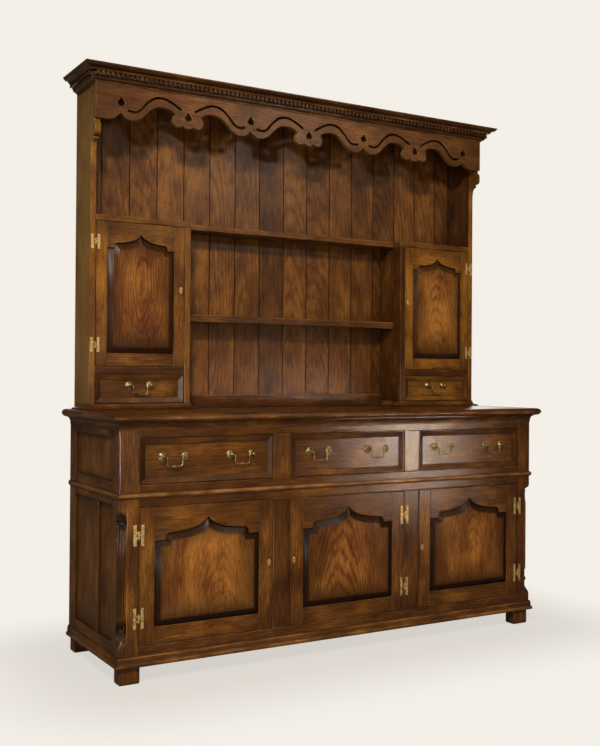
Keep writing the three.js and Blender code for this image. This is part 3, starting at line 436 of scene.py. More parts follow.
def cutBoard(piece, material, outline, holes, low, high, plane="front", bevel=1.0, slotStain=0.0,
             edgeWood=None, **look):
    curve = bpy.data.curves.new("cut", "CURVE")
    curve.dimensions = "2D"
    curve.fill_mode = "BOTH"
    for loop in [outline, *holes]:
        spline = curve.splines.new("POLY")
        spline.points.add(len(loop) - 1)
        for point, (a, b) in zip(spline.points, loop):
            point.co = (a, b, 0, 1)
        spline.use_cyclic_u = True
    curve.extrude = (high - low) / 2 - bevel
    curve.bevel_depth = bevel
    curve.bevel_resolution = 1
    curve.offset = -bevel
    holder = bpy.data.objects.new("cut", curve)
    bpy.context.scene.collection.objects.link(holder)
    bpy.context.view_layer.update()
    depsgraph = bpy.context.evaluated_depsgraph_get()
    mesh = bpy.data.meshes.new_from_object(holder.evaluated_get(depsgraph))
    middle = (low + high) / 2
    weld = bmesh.new()
    weld.from_mesh(mesh)
    bmesh.ops.remove_doubles(weld, verts=weld.verts, dist=0.01)
    weld.verts.index_update()
    weld.verts.ensure_lookup_table()
    flat = (high - low) / 2
    sure = 0.02
    wear = [1.0 if flat - bevel + sure < abs(v.co.z) < flat - sure else 0.0 for v in weld.verts]
    cuts = [Vector(p) for loop in holes for p in loop] if slotStain else []
    stain = [slotStain if abs(v.co.z) < flat - bevel + sure
             and any((v.co.xy - c).length < 2.5 for c in cuts) else 0.0 for v in weld.verts]
    if plane == "front":
        verts = [(v.co.x, middle + v.co.z, v.co.y) for v in weld.verts]
    else:
        verts = [(middle + v.co.z, v.co.x, v.co.y) for v in weld.verts]
    faces = [[v.index for v in f.verts] for f in weld.faces]
    first = len(piece["faces"])
    addShape(piece, material, verts, faces, stain=stain, wear=wear, **look)
    if edgeWood:
        piece["materials"].append(edgeWood)
        for index, face in enumerate(faces):
            if any(abs(weld.verts[i].co.z) < flat - sure for i in face):
                piece["slots"][first + index] = len(piece["materials"]) - 1
    weld.free()
    bpy.data.objects.remove(holder)
    bpy.data.curves.remove(curve)
    bpy.data.meshes.remove(mesh)


def lathe(piece, material, profile, centre, axis, sides=24, **look):
    rings = []
    for along, radius in profile:
        ring = []
        for i in range(sides):
            angle = 2 * math.pi * i / sides
            a, b = max(radius, 0.02) * math.cos(angle), max(radius, 0.02) * math.sin(angle)
            if axis == "d":
                ring.append((centre[0] + a, centre[1] + along, centre[2] + b))
            elif axis == "z":
                ring.append((centre[0] + a, centre[1] + b, centre[2] + along))
            else:
                ring.append((centre[0] + along, centre[1] + a, centre[2] + b))
        rings.append(ring)
    loft(piece, material, rings, smooth=True, **look)


def tube(piece, material, path, radii, sides=10, **look):
    points = [Vector(p) for p in path]
    rings = []
    side = Vector((0, 1, 0))
    for i, point in enumerate(points):
        ahead = points[min(i + 1, len(points) - 1)] - points[max(i - 1, 0)]
        ahead.normalize()
        other = ahead.cross(side).normalized()
        rings.append([point + radii[i] * (math.cos(a) * side + math.sin(a) * other)
                      for a in (2 * math.pi * k / sides for k in range(sides))])
    loft(piece, material, rings, smooth=True, **look)


sharpAngle = 38  # edges that turn more than this many degrees stay crisp


def toObject(piece):
    mesh = bpy.data.meshes.new(piece["name"])
    mesh.from_pydata([place(*v) for v in piece["verts"]], [], piece["faces"])
    for material in piece["materials"]:
        mesh.materials.append(material)
    mesh.polygons.foreach_set("material_index", piece["slots"])
    mesh.polygons.foreach_set("use_smooth", piece["smooth"])
    for name in ("grain", "shade"):
        layer = mesh.attributes.new(name, "FLOAT_VECTOR", "POINT")
        layer.data.foreach_set("vector", [n for v in piece[name] for n in v])
    for name in ("tone", "wear"):
        mesh.attributes.new(name, "FLOAT", "POINT").data.foreach_set("value", piece[name])
    shape = bmesh.new()
    shape.from_mesh(mesh)
    bmesh.ops.recalc_face_normals(shape, faces=shape.faces)
    for edge in shape.edges:
        if edge.calc_face_angle(math.pi) > math.radians(sharpAngle):
            edge.smooth = False
    shape.to_mesh(mesh)
    shape.free()
    made = bpy.data.objects.new(piece["name"], mesh)
    bpy.context.scene.collection.objects.link(made)
    return made


def finishPiece(piece, body, slotName, *nodes):
    made = toObject(piece)
    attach(made, body)
    if nodes:
        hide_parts(*nodes)
    return made


# geometry node helpers, in metres

def startTree(name, inputs):
    tree = bpy.data.node_groups.new(name, "GeometryNodeTree")
    tree.interface.new_socket("Geometry", in_out="INPUT", socket_type="NodeSocketGeometry")
    for label, kind in inputs.items():
        tree.interface.new_socket(label, in_out="INPUT", socket_type=kind)
    tree.interface.new_socket("Geometry", in_out="OUTPUT", socket_type="NodeSocketGeometry")
    return tree, tree.nodes.new("NodeGroupInput"), tree.nodes.new("NodeGroupOutput")


def bakeTree(name, tree, values, points=((0, 0, 0),), widths=None):
    mesh = bpy.data.meshes.new(name + "Points")
    mesh.from_pydata([place(*p) for p in points], [], [])
    if widths:
        layer = mesh.attributes.new("width", "FLOAT", "POINT")
        layer.data.foreach_set("value", [w * mm for w in widths])
    holder = bpy.data.objects.new(name + "Holder", mesh)
    bpy.context.scene.collection.objects.link(holder)
    modifier = holder.modifiers.new(name, "NODES")
    modifier.node_group = tree
    for item in tree.interface.items_tree:
        if item.in_out == "INPUT" and item.name in values:
            modifier[item.identifier] = values[item.name]
    bpy.context.view_layer.update()
    depsgraph = bpy.context.evaluated_depsgraph_get()
    baked = bpy.data.meshes.new_from_object(holder.evaluated_get(depsgraph))
    holder.modifiers.remove(modifier)
    bpy.data.objects.remove(holder)
    made = bpy.data.objects.new(name, baked)
    bpy.context.scene.collection.objects.link(made)
    return made


def storeVector(tree, geometry, name, value, domain="POINT"):
    given = {"Geometry": geometry, "Name": name, "Value": value}
    node = addNode(tree, "GeometryNodeStoreNamedAttribute", given, data_type="FLOAT_VECTOR", domain=domain)
    return node.outputs[0]


def storeFloat(tree, geometry, name, value, domain="POINT"):
    node = tree.nodes.new("GeometryNodeStoreNamedAttribute")
    node.data_type = "FLOAT"
    node.domain = domain
    wire(tree, geometry, node.inputs["Geometry"])
    node.inputs["Name"].default_value = name
    wire(tree, value, node.inputs["Value"])
    return node.outputs[0]


def named(tree, name, kind="FLOAT"):
    node = addNode(tree, "GeometryNodeInputNamedAttribute", {0: name}, data_type=kind)
    return node.outputs[0]


def chance(tree, seed, low, high):
    node = addNode(tree, "FunctionNodeRandomValue", {"Seed": seed, 2: low, 3: high}, data_type="FLOAT")
    return node.outputs[1]


def combine(tree, x=0.0, y=0.0, z=0.0):
    return addNode(tree, "ShaderNodeCombineXYZ", {0: x, 1: y, 2: z}).outputs[0]


def position(tree):
    return addNode(tree, "GeometryNodeInputPosition").outputs[0]


def setMaterial(tree, geometry, material):
    node = addNode(tree, "GeometryNodeSetMaterial", {"Geometry": geometry, "Material": material})
    return node.outputs[0]


def instances(tree, points, shape, **turns):
    given = {"Points": points, "Instance": shape, **turns}
    return addNode(tree, "GeometryNodeInstanceOnPoints", given).outputs[0]


# base case

column = {"arris": 2.4, "chamfer": 25, "low": 118, "high": 549, "reeds": 4, "reedLow": 214,
          "reedHigh": 508, "reedEnd": 5, "reedHeight": 3.4, "stopLow": 34, "stopHigh": 20,
          "cornerSteps": 33, "hollow": 9, "hollows": (178, 508), "hollowReach": 30,
          "plain": (100, 300, 400, 620, 700)}


def columnBlend(z):
    if z <= column["low"] or z >= column["high"]:
        return 0.0
    low = min(1.0, (z - column["low"]) / column["stopLow"])
    high = min(1.0, (column["high"] - z) / column["stopHigh"])
    t = min(low, high)
    return t * t * (3 - 2 * t)


def columnReed(z):
    low = (z - column["reedLow"]) / column["reedEnd"]
    high = (column["reedHigh"] - z) / column["reedEnd"]
    return math.sqrt(max(0.0, min(1.0, low, high)))


def columnHollow(z):
    nearest = min(abs(z - middle) for middle in column["hollows"])
    return max(0.0, 1 - (nearest / column["hollowReach"]) ** 2)


def endStile(piece, side):
    half, face, cut = case["half"], case["depth"], column["chamfer"]
    corner = Vector((half, face))
    start, end = Vector((half - cut, face)), Vector((half, face - cut))
    outward = Vector((1, 1)).normalized()
    count = column["cornerSteps"]
    stations = [levels["foot"], column["low"], *column["plain"], levels["caseTop"]]
    stations += [column["low"] + column["stopLow"] * i / 8 for i in range(1, 9)]
    stations += [column["reedLow"] + i for i in range(0, 6)]
    stations += [column["reedHigh"] - column["reedEnd"] + i for i in range(0, 6)]
    stations += [column["high"] - column["stopHigh"] * (1 - i / 6) for i in range(0, 7)]
    stations += [middle + column["hollowReach"] * i / 6
                 for middle in column["hollows"] for i in range(-6, 7)]
    stations = sorted(set(stations))
    rings = []
    nick = column["arris"]
    for z in stations:
        blend, reed = columnBlend(z), columnReed(z)
        ring = [(side * case["frameInner"], case["frameBack"], z), (side * case["frameInner"], face, z),
                (side * (half - cut - 4), face, z)]
        for i in range(count):
            t = i / (count - 1)
            flat = start.lerp(end, t)
            wave = abs(math.sin(math.pi * column["reeds"] * t)) ** 0.6
            flat = flat + outward * (column["reedHeight"] * wave * reed)
            flat = flat - outward * (column["hollow"] * columnHollow(z) * math.sin(math.pi * t) ** 0.7)
            if t < 0.5:
                square = start.lerp(corner - Vector((nick, 0)), min(1.0, t / 0.46))
            else:
                square = (corner - Vector((0, nick))).lerp(end, max(0.0, (t - 0.54) / 0.46))
            point = square.lerp(flat, blend)
            ring.append((side * point.x, point.y, z))
        ring.append((side * half, case["frameBack"], z))
        rings.append(ring)
    # the chamfer is stained, and darker still in the stops' hollows as painted shade; the front edge of the
    # column is painted lighter, as wear and painted highlight
    stains, wears = [], []
    for z in stations:
        blend = min(1.0, 5 * columnBlend(z))
        stop = columnHollow(z)
        stains += [0.0, 0.0, 0.15 * blend] + [0.0] + [(0.5 + 0.5 * stop) * blend] * (count - 1) + [0.0]
        wears += [0.0, 0.0, 0.0] + [blend] + [0.0] * count
    loft(piece, woods["oak"], rings, "z", stain=stains, wear=wears)


curls = ((178, 11, -1), (527, 7, 1))  # height, size and turn of each curl in the column's stops
curlForm = {"inset": 12.0, "steps": 25, "start": 0.6, "sweep": 4.6, "shrink": 0.8, "rise": 2.4, "sunk": 2.0}


def curlBoss(piece, side, z, size, turn):
    at = Vector((case["half"] - curlForm["inset"], case["depth"] - curlForm["inset"]))
    outward = Vector((1, 1)).normalized()
    across = Vector((1, -1)).normalized()
    path, radii = [], []
    for i in range(curlForm["steps"] + 1):
        t = i / curlForm["steps"]
        angle = turn * (curlForm["start"] + curlForm["sweep"] * t)
        reach = size * (1 - curlForm["shrink"] * t)
        sideways = math.sin(angle) * reach
        up = math.cos(angle) * reach
        point = at + across * sideways + outward * (curlForm["rise"] * t - curlForm["sunk"])
        path.append((side * point.x, point.y, z + up))
        radii.append(size * (0.24 + 0.16 * t) * (0.35 if i == 0 else 1.0))
    tube(piece, woods["oak"], path, radii, 8, stain=0.6)


frontFrame = startPiece("frontFrame")
endStile(frontFrame, -1)
endStile(frontFrame, 1)
railSpan = (-case["frameInner"], case["frameInner"])
frameDepth = (case["frameBack"], case["depth"])
for low, high in (("foot", "doorBottom"), ("doorTop", "drawerFloor"), ("drawerTop", "caseTop")):
    board(frontFrame, woods["oak"], railSpan, frameDepth, (levels[low], levels[high]), "x", 1.6, 3)
for centre in (-case["bayStile"], case["bayStile"]):
    stile = (centre - case["bayStileHalf"], centre + case["bayStileHalf"])
    for low, high in (("doorBottom", "doorTop"), ("drawerFloor", "drawerTop")):
        board(frontFrame, woods["oak"], stile, frameDepth, (levels[low], levels[high]), "z", 2.2, 3)
for side in (-1, 1):
    for curl in curls:
        curlBoss(frontFrame, side, *curl)
finishPiece(frontFrame, "carcase", "oak", "front_frame")

endPanel = {"recess": 8, "tongue": 3, "rearStile": 62, "frontStile": 62, "muntin": (264, 300),
            "topRail": 780, "middle": (562.5, 636.5), "bottomRail": 127}


def makeEnd(side, node):
    piece = startPiece("leftEnd" if side < 0 else "rightEnd")
    outer, inner = case["half"], case["inner"]

    def across(low, high):
        return (low, high) if side > 0 else (-high, -low)

    rearStile, frontEdge = endPanel["rearStile"], case["depth"] - endPanel["frontStile"]
    low, high = levels["foot"], levels["caseTop"]
    thick = across(inner, outer)
    oak = woods["endOak"]
    board(piece, oak, thick, (0, rearStile), (low, high), "z", 2.4, 3)
    board(piece, oak, thick, (frontEdge, case["frameBack"]), (low, high), "z", 2.4, 3)
    middleLow, middleHigh = endPanel["middle"]
    for span in ((endPanel["topRail"], high), (middleLow, middleHigh), (low, endPanel["bottomRail"])):
        board(piece, oak, thick, (rearStile, frontEdge), span, "d", 2.4, 3)
    muntin = endPanel["muntin"]
    board(piece, oak, thick, muntin, (endPanel["bottomRail"], middleLow), "z", 2.4, 3)
    panelThick, tongue = across(inner + 4, outer - endPanel["recess"]), endPanel["tongue"]
    panels = (((rearStile, frontEdge), (middleHigh, endPanel["topRail"])),
              ((rearStile, muntin[0]), (endPanel["bottomRail"], middleLow)),
              ((muntin[1], frontEdge), (endPanel["bottomRail"], middleLow)))
    for depths, heights in panels:
        board(piece, oak, panelThick, (depths[0] - tongue, depths[1] + tongue),
              (heights[0] - tongue, heights[1] + tongue), "z", 0)
    finishPiece(piece, "carcase", "oak", node)


makeEnd(-1, "left_end")
makeEnd(1, "right_end")

inside = startPiece("baseInside")
caseWidth, caseDepths = (-case["inner"], case["inner"]), (case["backThick"], case["frameBack"])
backCount = 8
for i in range(backCount):
    width = 2 * case["inner"] / backCount
    left = -case["inner"] + i * width
    board(inside, woods["innerOak"], (left, left + width), (0, case["backThick"]),
          (levels["foot"], levels["caseTop"]), "z", 1)
board(inside, woods["innerOak"], caseWidth, caseDepths,
      (levels["bottomBoard"], levels["doorBottom"]), "x", 0.8)
finishPiece(inside, "carcase", "inner_oak", "base_back", "bottom_board")

deck = startPiece("drawerDeck")
board(deck, woods["innerOak"], caseWidth, caseDepths, (levels["deck"], levels["drawerFloor"]), "x", 0.8)
guides = ((-case["inner"], -case["frameInner"]), (-309, -243), (243, 309),
          (case["frameInner"], case["inner"]))
for span in guides:
    board(deck, woods["innerOak"], span, caseDepths,
          (levels["drawerFloor"] - 0.5, levels["drawerFloor"] + 20), "d", 0.8)
finishPiece(deck, "carcase", "inner_oak", "drawer_deck")

footForm = {"outer": 855, "inner": 785, "deep": 50, "frontDepth": 441, "bevel": 6}
feet = {"front_left_foot": (-1, footForm["frontDepth"]), "front_right_foot": (1, footForm["frontDepth"]),
        "rear_left_foot": (-1, 0), "rear_right_foot": (1, 0)}
for node, (side, depth) in feet.items():
    foot = startPiece(node.replace("_foot", "Foot").replace("_l", "L").replace("_r", "R"))
    span = sorted((side * footForm["outer"], side * footForm["inner"]))
    board(foot, woods["oak"], span, (depth, depth + footForm["deep"]), (0, levels["foot"]), "z",
          footForm["bevel"], 4, tone=-0.3, wear=0.0)
    finishPiece(foot, "carcase", "oak", node)
print("stage: base case made")

# base mouldings: a profile's points are (out from the case, height), and what is painted lighter,
# as wear and painted highlight, is (lowest, highest, how far out it starts)

worktop = {"inset": 14, "boards": (118, 121, 124, 119), "boardHalf": 846}
topProfile = [(-worktop["inset"], 835), (0, 835), (0, 801)]
topProfile += bend((0, 801), (1, 824), (9, 826), 6) + [(11, 826), (11, 829)]
topProfile += bend((11, 829), (26, 829), (29, 837), 6) + [(31.2, 838.6), (32, 840), (31.8, 842)]
topProfile += bend((31.8, 842), (31, 855), (17, 856), 8) + [(-worktop["inset"], 856)]
top = startPiece("worktop")
caseSpan = (-case["half"], case["half"], case["depth"])
sweep(top, woods["oak"], topProfile, *caseSpan, returns=woods["endOak"], wornAndHighlit=[(836, 844, 28)],
      tone=0.2, stain=0.12)
reach = 0
for width in worktop["boards"]:
    board(top, woods["oak"], (-worktop["boardHalf"], worktop["boardHalf"]), (reach, reach + width),
          (levels["caseTop"], levels["table"]), "x", 0.7, 2, tone=0.1, stain=0.2)
    reach += width
finishPiece(top, "carcase", "oak", "base_top")

middle = startPiece("middleMoulding")
middleProfile = [(-3, 586), (2.6, 586), (2.8, 588.5)]
middleProfile += arc(2.2, 595, 3.8, 6.5, -80, 80, 8) + [(2.8, 601.5), (2.6, 604), (-3, 604)]
sweep(middle, woods["oak"], middleProfile, *caseSpan, returns=woods["endOak"],
      wornAndHighlit=[(592, 601, 4)], tone=0.4)
finishPiece(middle, "carcase", "oak", "middle_moulding")

plinth = startPiece("plinthMoulding")
plinthProfile = [(-3, 56), (8.6, 56), (10, 57.6), (10, 66)] + bend((10, 66), (5.4, 67), (5.2, 74), 6)
plinthProfile += [(5.2, 81), (4.4, 82)] + arc(1.2, 86, 3.4, 4.2, -40, 80, 5) + [(-3, 91)]
sweep(plinth, woods["oak"], plinthProfile, *caseSpan, returns=woods["endOak"],
      wornAndHighlit=[(65, 68, 6), (84, 87, 4)], tone=0.0)
finishPiece(plinth, "carcase", "oak", "plinth_moulding")
print("stage: mouldings made")

# rack

cornice = startPiece("cornice")
corniceProfile = [(-3, 1976), (3.4, 1976), (4, 1977), (4, 1980)]
corniceProfile += bend((4, 1980), (14, 1981), (15, 1988), 6)
corniceProfile += [(15, 1990.5), (18, 1991.5), (18, 2007.5), (29.5, 2007.5), (30, 2009.5)]
corniceProfile += cubic((30, 2009.5), (35, 2022), (44, 2012), (48, 2024), 10)
corniceProfile += [(50.5, 2024.6), (51, 2026), (51, 2029), (50, 2030), (-3, 2030)]
# the cornice is darkened as painted shade on its downward-facing moulding
sweep(cornice, woods["oak"], corniceProfile, -rack["half"], rack["half"], rack["frieze"],
      returns=woods["sideOak"], wornAndHighlit=[(1976, 1977.5, 3), (2009, 2010, 28), (2025, 2027, 50)],
      tone=0.0, stain=0.3)
finishPiece(cornice, "carcase", "oak", "cornice")

rackTop = startPiece("rackTop")
for low, high in ((0, 100), (100, rack["frieze"])):
    board(rackTop, woods["innerOak"], (-845, 845), (low, high), (levels["boardTop"], 2029.5), "x", 0.8)
finishPiece(rackTop, "carcase", "inner_oak", "rack_top")

dentils = {"pitch": 17.5, "width": 11, "depth": 11.5, "height": 13.5, "z": 1999.6, "back": 17.5,
           "front": 98, "side": 12, "sideStart": 14}


def dentilTree():
    tree, given, result = startTree("dentilRow", {
        "count": "NodeSocketInt", "first": "NodeSocketVector", "step": "NodeSocketVector",
        "blockSize": "NodeSocketVector", "seed": "NodeSocketInt", "wood": "NodeSocketMaterial"})
    line = addNode(tree, "GeometryNodeMeshLine", {"Count": given.outputs["count"],
                                                  "Start Location": given.outputs["first"],
                                                  "Offset": given.outputs["step"]}, mode="OFFSET")
    block = addNode(tree, "GeometryNodeMeshCube", {"Size": given.outputs["blockSize"]})
    copies = instances(tree, line.outputs[0], block.outputs[0])
    luck = chance(tree, given.outputs["seed"], -0.35, 0.35)
    toned = storeFloat(tree, copies, "tone", luck, "INSTANCE")
    real = addNode(tree, "GeometryNodeRealizeInstances", {"Geometry": toned})
    grained = storeVector(tree, real.outputs[0], "grain", position(tree))
    # the dentils are darkened as painted shade under the crown
    flat = storeVector(tree, grained, "shade", (0.0, 0.0, 0.55))
    wire(tree, setMaterial(tree, flat, given.outputs["wood"]), result.inputs[0])
    return tree


rowTree = dentilTree()
standOff = dentils["back"] + dentils["depth"] / 2
rowStart = -(dentils["front"] - 1) * dentils["pitch"] / 2
size = [dentils["width"] * mm, dentils["depth"] * mm, dentils["height"] * mm]
turnedSize = [size[1], size[0], size[2]]
sideStep = (0, -dentils["pitch"] * mm, 0)
rows = {
    "frontDentils": (dentils["front"], (rowStart, rack["frieze"] + standOff, dentils["z"]),
                     (dentils["pitch"] * mm, 0, 0), size),
    "leftDentils": (dentils["side"], (-(rack["half"] + standOff), dentils["sideStart"], dentils["z"]),
                    sideStep, turnedSize),
    "rightDentils": (dentils["side"], (rack["half"] + standOff, dentils["sideStart"], dentils["z"]),
                     sideStep, turnedSize),
}
for name, (count, first, step, blockSize) in rows.items():
    row = bakeTree(name, rowTree, {"count": count, "first": place(*first), "step": step,
                                   "blockSize": blockSize, "seed": 5, "wood": woods["oak"]})
    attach(row, "carcase")

friezeWave = {"repeats": 3, "end": 92, "endLobe": 46, "height": 122, "steps": 7, "foot": (0, 0.02),
              "slotHalf": 4.5, "tear": (13.4, 33, 2.6), "trefoilTear": 28, "cuspTear": 49, "back": 182}
# shares of a repeat's width and of the wave's height: the lower edge, then the slot's centre line
friezeCurve = [((0.028, 0.02), (0.042, 0.1)), ((0.056, 0.03), (0.084, 0.04)),
               ((0.118, 0.08), (0.115, 0.24)), ((0.112, 0.36), (0.098, 0.38)),
               ((0.13, 0.54), (0.2, 0.54)), ((0.262, 0.54), (0.318, 0.28)),
               ((0.358, 0.06), (0.412, 0.04)), ((0.468, 0.03), (0.5, 0.23))]
fretLine = [(0.05, 0.53), (0.105, 0.66), (0.165, 0.77), (0.214, 0.79), (0.264, 0.735), (0.32, 0.55),
            (0.362, 0.35), (0.404, 0.27), (0.453, 0.305)]
repeatWidth = (2 * rack["half"] - 2 * friezeWave["end"]) / friezeWave["repeats"]


def friezeHalf(centre, side):
    def at(share):
        return (centre + side * share[0] * repeatWidth,
                levels["friezeBottom"] + share[1] * friezeWave["height"])

    points = [at(friezeWave["foot"])]
    last = friezeWave["foot"]
    for corner, end in friezeCurve:
        points += [at(p) for p in bend(last, corner, end, friezeWave["steps"])]
        last = end
    return points


def splineThrough(points, steps):
    made = []
    padded = [points[0], *points, points[-1]]
    for i in range(1, len(padded) - 2):
        p0, p1, p2, p3 = padded[i - 1:i + 3]
        for k in range(steps):
            t = k / steps
            made.append(tuple(0.5 * (2 * b + (c - a) * t + (2 * a - 5 * b + 4 * c - d) * t * t
                                     + (3 * b - a - 3 * c + d) * t ** 3)
                              for a, b, c, d in zip(p0, p1, p2, p3)))
    made.append(points[-1])
    return made


def fretSlot(centre, side):
    line = splineThrough([(centre + side * a * repeatWidth,
                           levels["friezeBottom"] + r * friezeWave["height"]) for a, r in fretLine], 4)
    upper, lower, half = [], [], friezeWave["slotHalf"]
    for i, (x, z) in enumerate(line):
        a, b = line[max(i - 1, 0)], line[min(i + 1, len(line) - 1)]
        run = Vector((b[0] - a[0], b[1] - a[1])).normalized()
        upper.append((x - run.y * half, z + run.x * half))
        lower.append((x + run.y * half, z - run.x * half))
    return upper + lower[::-1]


def teardrop(centre, bottom):
    wide, tall, waist = friezeWave["tear"]
    middleZ = bottom + wide
    tip, left, right = (centre, bottom + tall), (centre - wide, middleZ), (centre + wide, middleZ)
    points = [tip]
    points += bend(tip, (centre - waist, middleZ + wide), left, 6)
    points += bend(left, (centre - wide, bottom), (centre, bottom), 6)
    points += bend((centre, bottom), (centre + wide, bottom), right, 6)
    points += bend(right, (centre + waist, middleZ + wide), tip, 6)[:-1]
    return points


wave = []
for repeat in range(friezeWave["repeats"]):
    centre = (repeat - 1) * repeatWidth
    left = friezeHalf(centre, -1)[::-1]
    right = friezeHalf(centre, 1)[1:]
    wave += (left if repeat == 0 else left[1:]) + right
endStart = (rack["half"] - friezeWave["end"], wave[0][1])
lobe = bend(endStart, (endStart[0] + friezeWave["endLobe"] / 2, levels["friezeBottom"]),
            (endStart[0] + friezeWave["endLobe"], levels["friezeBottom"]), 6)
rightEnd = lobe + [(rack["half"], levels["friezeBottom"])]
leftEnd = [(-x, z) for x, z in rightEnd][::-1]
outline = leftEnd + wave + rightEnd
outline += [(rack["half"], levels["boardTop"]), (-rack["half"], levels["boardTop"])]
trefoilZ = levels["friezeBottom"] + friezeWave["trefoilTear"]
cuspZ = levels["friezeBottom"] + friezeWave["cuspTear"]
holes = [teardrop((i - 1) * repeatWidth, trefoilZ) for i in range(3)]
holes += [teardrop((i - 1.5) * repeatWidth, cuspZ) for i in range(4)]
holes += [fretSlot((i - 1) * repeatWidth, side) for i in range(3) for side in (-1, 1)]
frieze = startPiece("frieze")
cutBoard(frieze, woods["friezeOak"], outline, holes, friezeWave["back"], rack["frieze"], bevel=1.1,
         slotStain=0.85, edgeWood=woods["sideOak"], along="x", tone=0.1)
finishPiece(frieze, "carcase", "oak", "frieze")

scrollLow = 112


def makeRackSide(side, node):
    sideWood = woods["sideOak" if side < 0 else "endOak"]
    piece = startPiece("rackLeftSide" if side < 0 else "rackRightSide")
    bottom, front, deep = levels["friezeBottom"], rack["depth"], rack["frieze"]
    points = [(0, levels["table"]), (front, levels["table"]), (front, bottom - scrollLow)]
    points += bend(points[-1], (front + 1, bottom - 74), (front + 15, bottom - 71), 7)
    points += bend(points[-1], (front + 25, bottom - 70), (front + 24, bottom - 60), 5)
    points += [(front + 20, bottom - 57)]
    points += bend(points[-1], (deep + 2, bottom - 62), (deep, bottom - 36), 8)
    points += bend(points[-1], (deep, bottom - 12), (deep - 12, bottom - 11), 7)
    points += [(deep - 12, bottom - 0.6), (deep - 20, bottom - 0.6)]
    points += [(deep - 20, levels["boardTop"]), (0, levels["boardTop"])]
    span = sorted((side * rack["half"], side * rack["inner"]))
    cutBoard(piece, sideWood, points, [], span[0], span[1], "side", bevel=1.4, edgeWood=woods["oak"],
             along="z", tone=2.4)
    # a thin darker sheet over the inner face is painted shade inside the rack
    shadedInnerSheet = sorted((side * (rack["inner"] - 0.4), side * (rack["inner"] + 0.6)))
    board(piece, woods["oak"], shadedInnerSheet, (10, front - 3), (levels["table"], levels["boardTop"] - 1), "z", 0,
          tone=-1.0, stain=0.35)
    finishPiece(piece, "carcase", "oak", node)


makeRackSide(-1, "rack_left_side")
makeRackSide(1, "rack_right_side")


def backBoardTree():
    tree, given, result = startTree("backBoards", {
        "height": "NodeSocketFloat", "thickness": "NodeSocketFloat",
        "seed": "NodeSocketInt", "wood": "NodeSocketMaterial"})
    outlineNode = addNode(tree, "GeometryNodeCurvePrimitiveQuadrilateral", mode="TRAPEZOID")
    outlineNode.inputs["Bottom Width"].default_value = 0.984
    outlineNode.inputs["Top Width"].default_value = 1.0
    outlineNode.inputs["Offset"].default_value = 0.0
    wire(tree, given.outputs["thickness"], outlineNode.inputs["Height"])
    rise = combine(tree, z=given.outputs["height"])
    line = addNode(tree, "GeometryNodeCurvePrimitiveLine", {"End": rise})
    swept = addNode(tree, "GeometryNodeCurveToMesh", {
        "Curve": line.outputs[0], "Profile Curve": outlineNode.outputs[0], "Fill Caps": True})
    body = addNode(tree, "GeometryNodeSetShadeSmooth", {"Geometry": swept.outputs[0],
                                                        "Shade Smooth": False})
    width = named(tree, "width")
    copies = instances(tree, given.outputs[0], body.outputs[0], Scale=combine(tree, width, 1.0, 1.0))
    marked = storeVector(tree, copies, "boardAt", position(tree), "INSTANCE")
    luck = chance(tree, given.outputs["seed"], -1.0, 1.0)
    toned = storeFloat(tree, marked, "tone", luck, "INSTANCE")
    wide = storeFloat(tree, toned, "boardWide", width, "INSTANCE")
    real = addNode(tree, "GeometryNodeRealizeInstances", {"Geometry": wide})
    # grain runs from each board's own foot, moved along by a whole number that its tone gives
    start = named(tree, "boardAt", "FLOAT_VECTOR")
    local = addNode(tree, "ShaderNodeVectorMath", {0: position(tree), 1: start}, operation="SUBTRACT")
    parts = addNode(tree, "ShaderNodeSeparateXYZ", {0: local.outputs[0]}).outputs
    whole = math1(tree, "ROUND", math1(tree, "MULTIPLY", named(tree, "tone"), 30.0))
    grain = combine(tree, parts[0], muladd(tree, whole, 4.0, parts[2]), parts[1])
    grained = storeVector(tree, real.outputs[0], "grain", grain)
    edge = math1(tree, "MULTIPLY", math1(tree, "DIVIDE", parts[0], named(tree, "boardWide")), 2.0)
    shaded = storeVector(tree, grained, "shade", combine(tree, edge))
    wire(tree, setMaterial(tree, shaded, given.outputs["wood"]), result.inputs[0])
    return tree


backBoards = {"first": -758.5, "pitch": 107.9, "joint": 1.3, "thickness": 9.5, "depth": 7.2, "least": 20,
              "linings": 12}
joints = [-rack["inner"]]
at = backBoards["first"]
while at < rack["inner"] - backBoards["least"]:
    joints.append(at)
    at += backBoards["pitch"]
joints.append(rack["inner"])
centres = [((a + b) / 2, backBoards["depth"], levels["table"]) for a, b in zip(joints, joints[1:])]
widths = [b - a - backBoards["joint"] for a, b in zip(joints, joints[1:])]
boards = bakeTree("rackBackBoards", backBoardTree(), {
    "height": (levels["boardTop"] - levels["table"]) * mm, "thickness": backBoards["thickness"] * mm,
    "seed": 11, "wood": woods["backOak"]}, centres, widths)
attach(boards, "carcase")
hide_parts("rack_back")
backTrim = startPiece("rackBackTrim")
middleSpan = (-rack["uprightInner"], rack["uprightInner"])
board(backTrim, woods["oak"], middleSpan, (11.5, 30), (levels["table"], 904), "x", 2.5, 3)
perHalf = backBoards["linings"] // 2
for i in range(backBoards["linings"]):
    left = -rack["inner"] + i * rack["inner"] / perHalf
    board(backTrim, woods["innerOak"], (left, left + rack["inner"] / perHalf), (0, 2.6),
          (levels["table"], levels["boardTop"]), "z", 0.9, 1)
finishPiece(backTrim, "carcase", "oak")

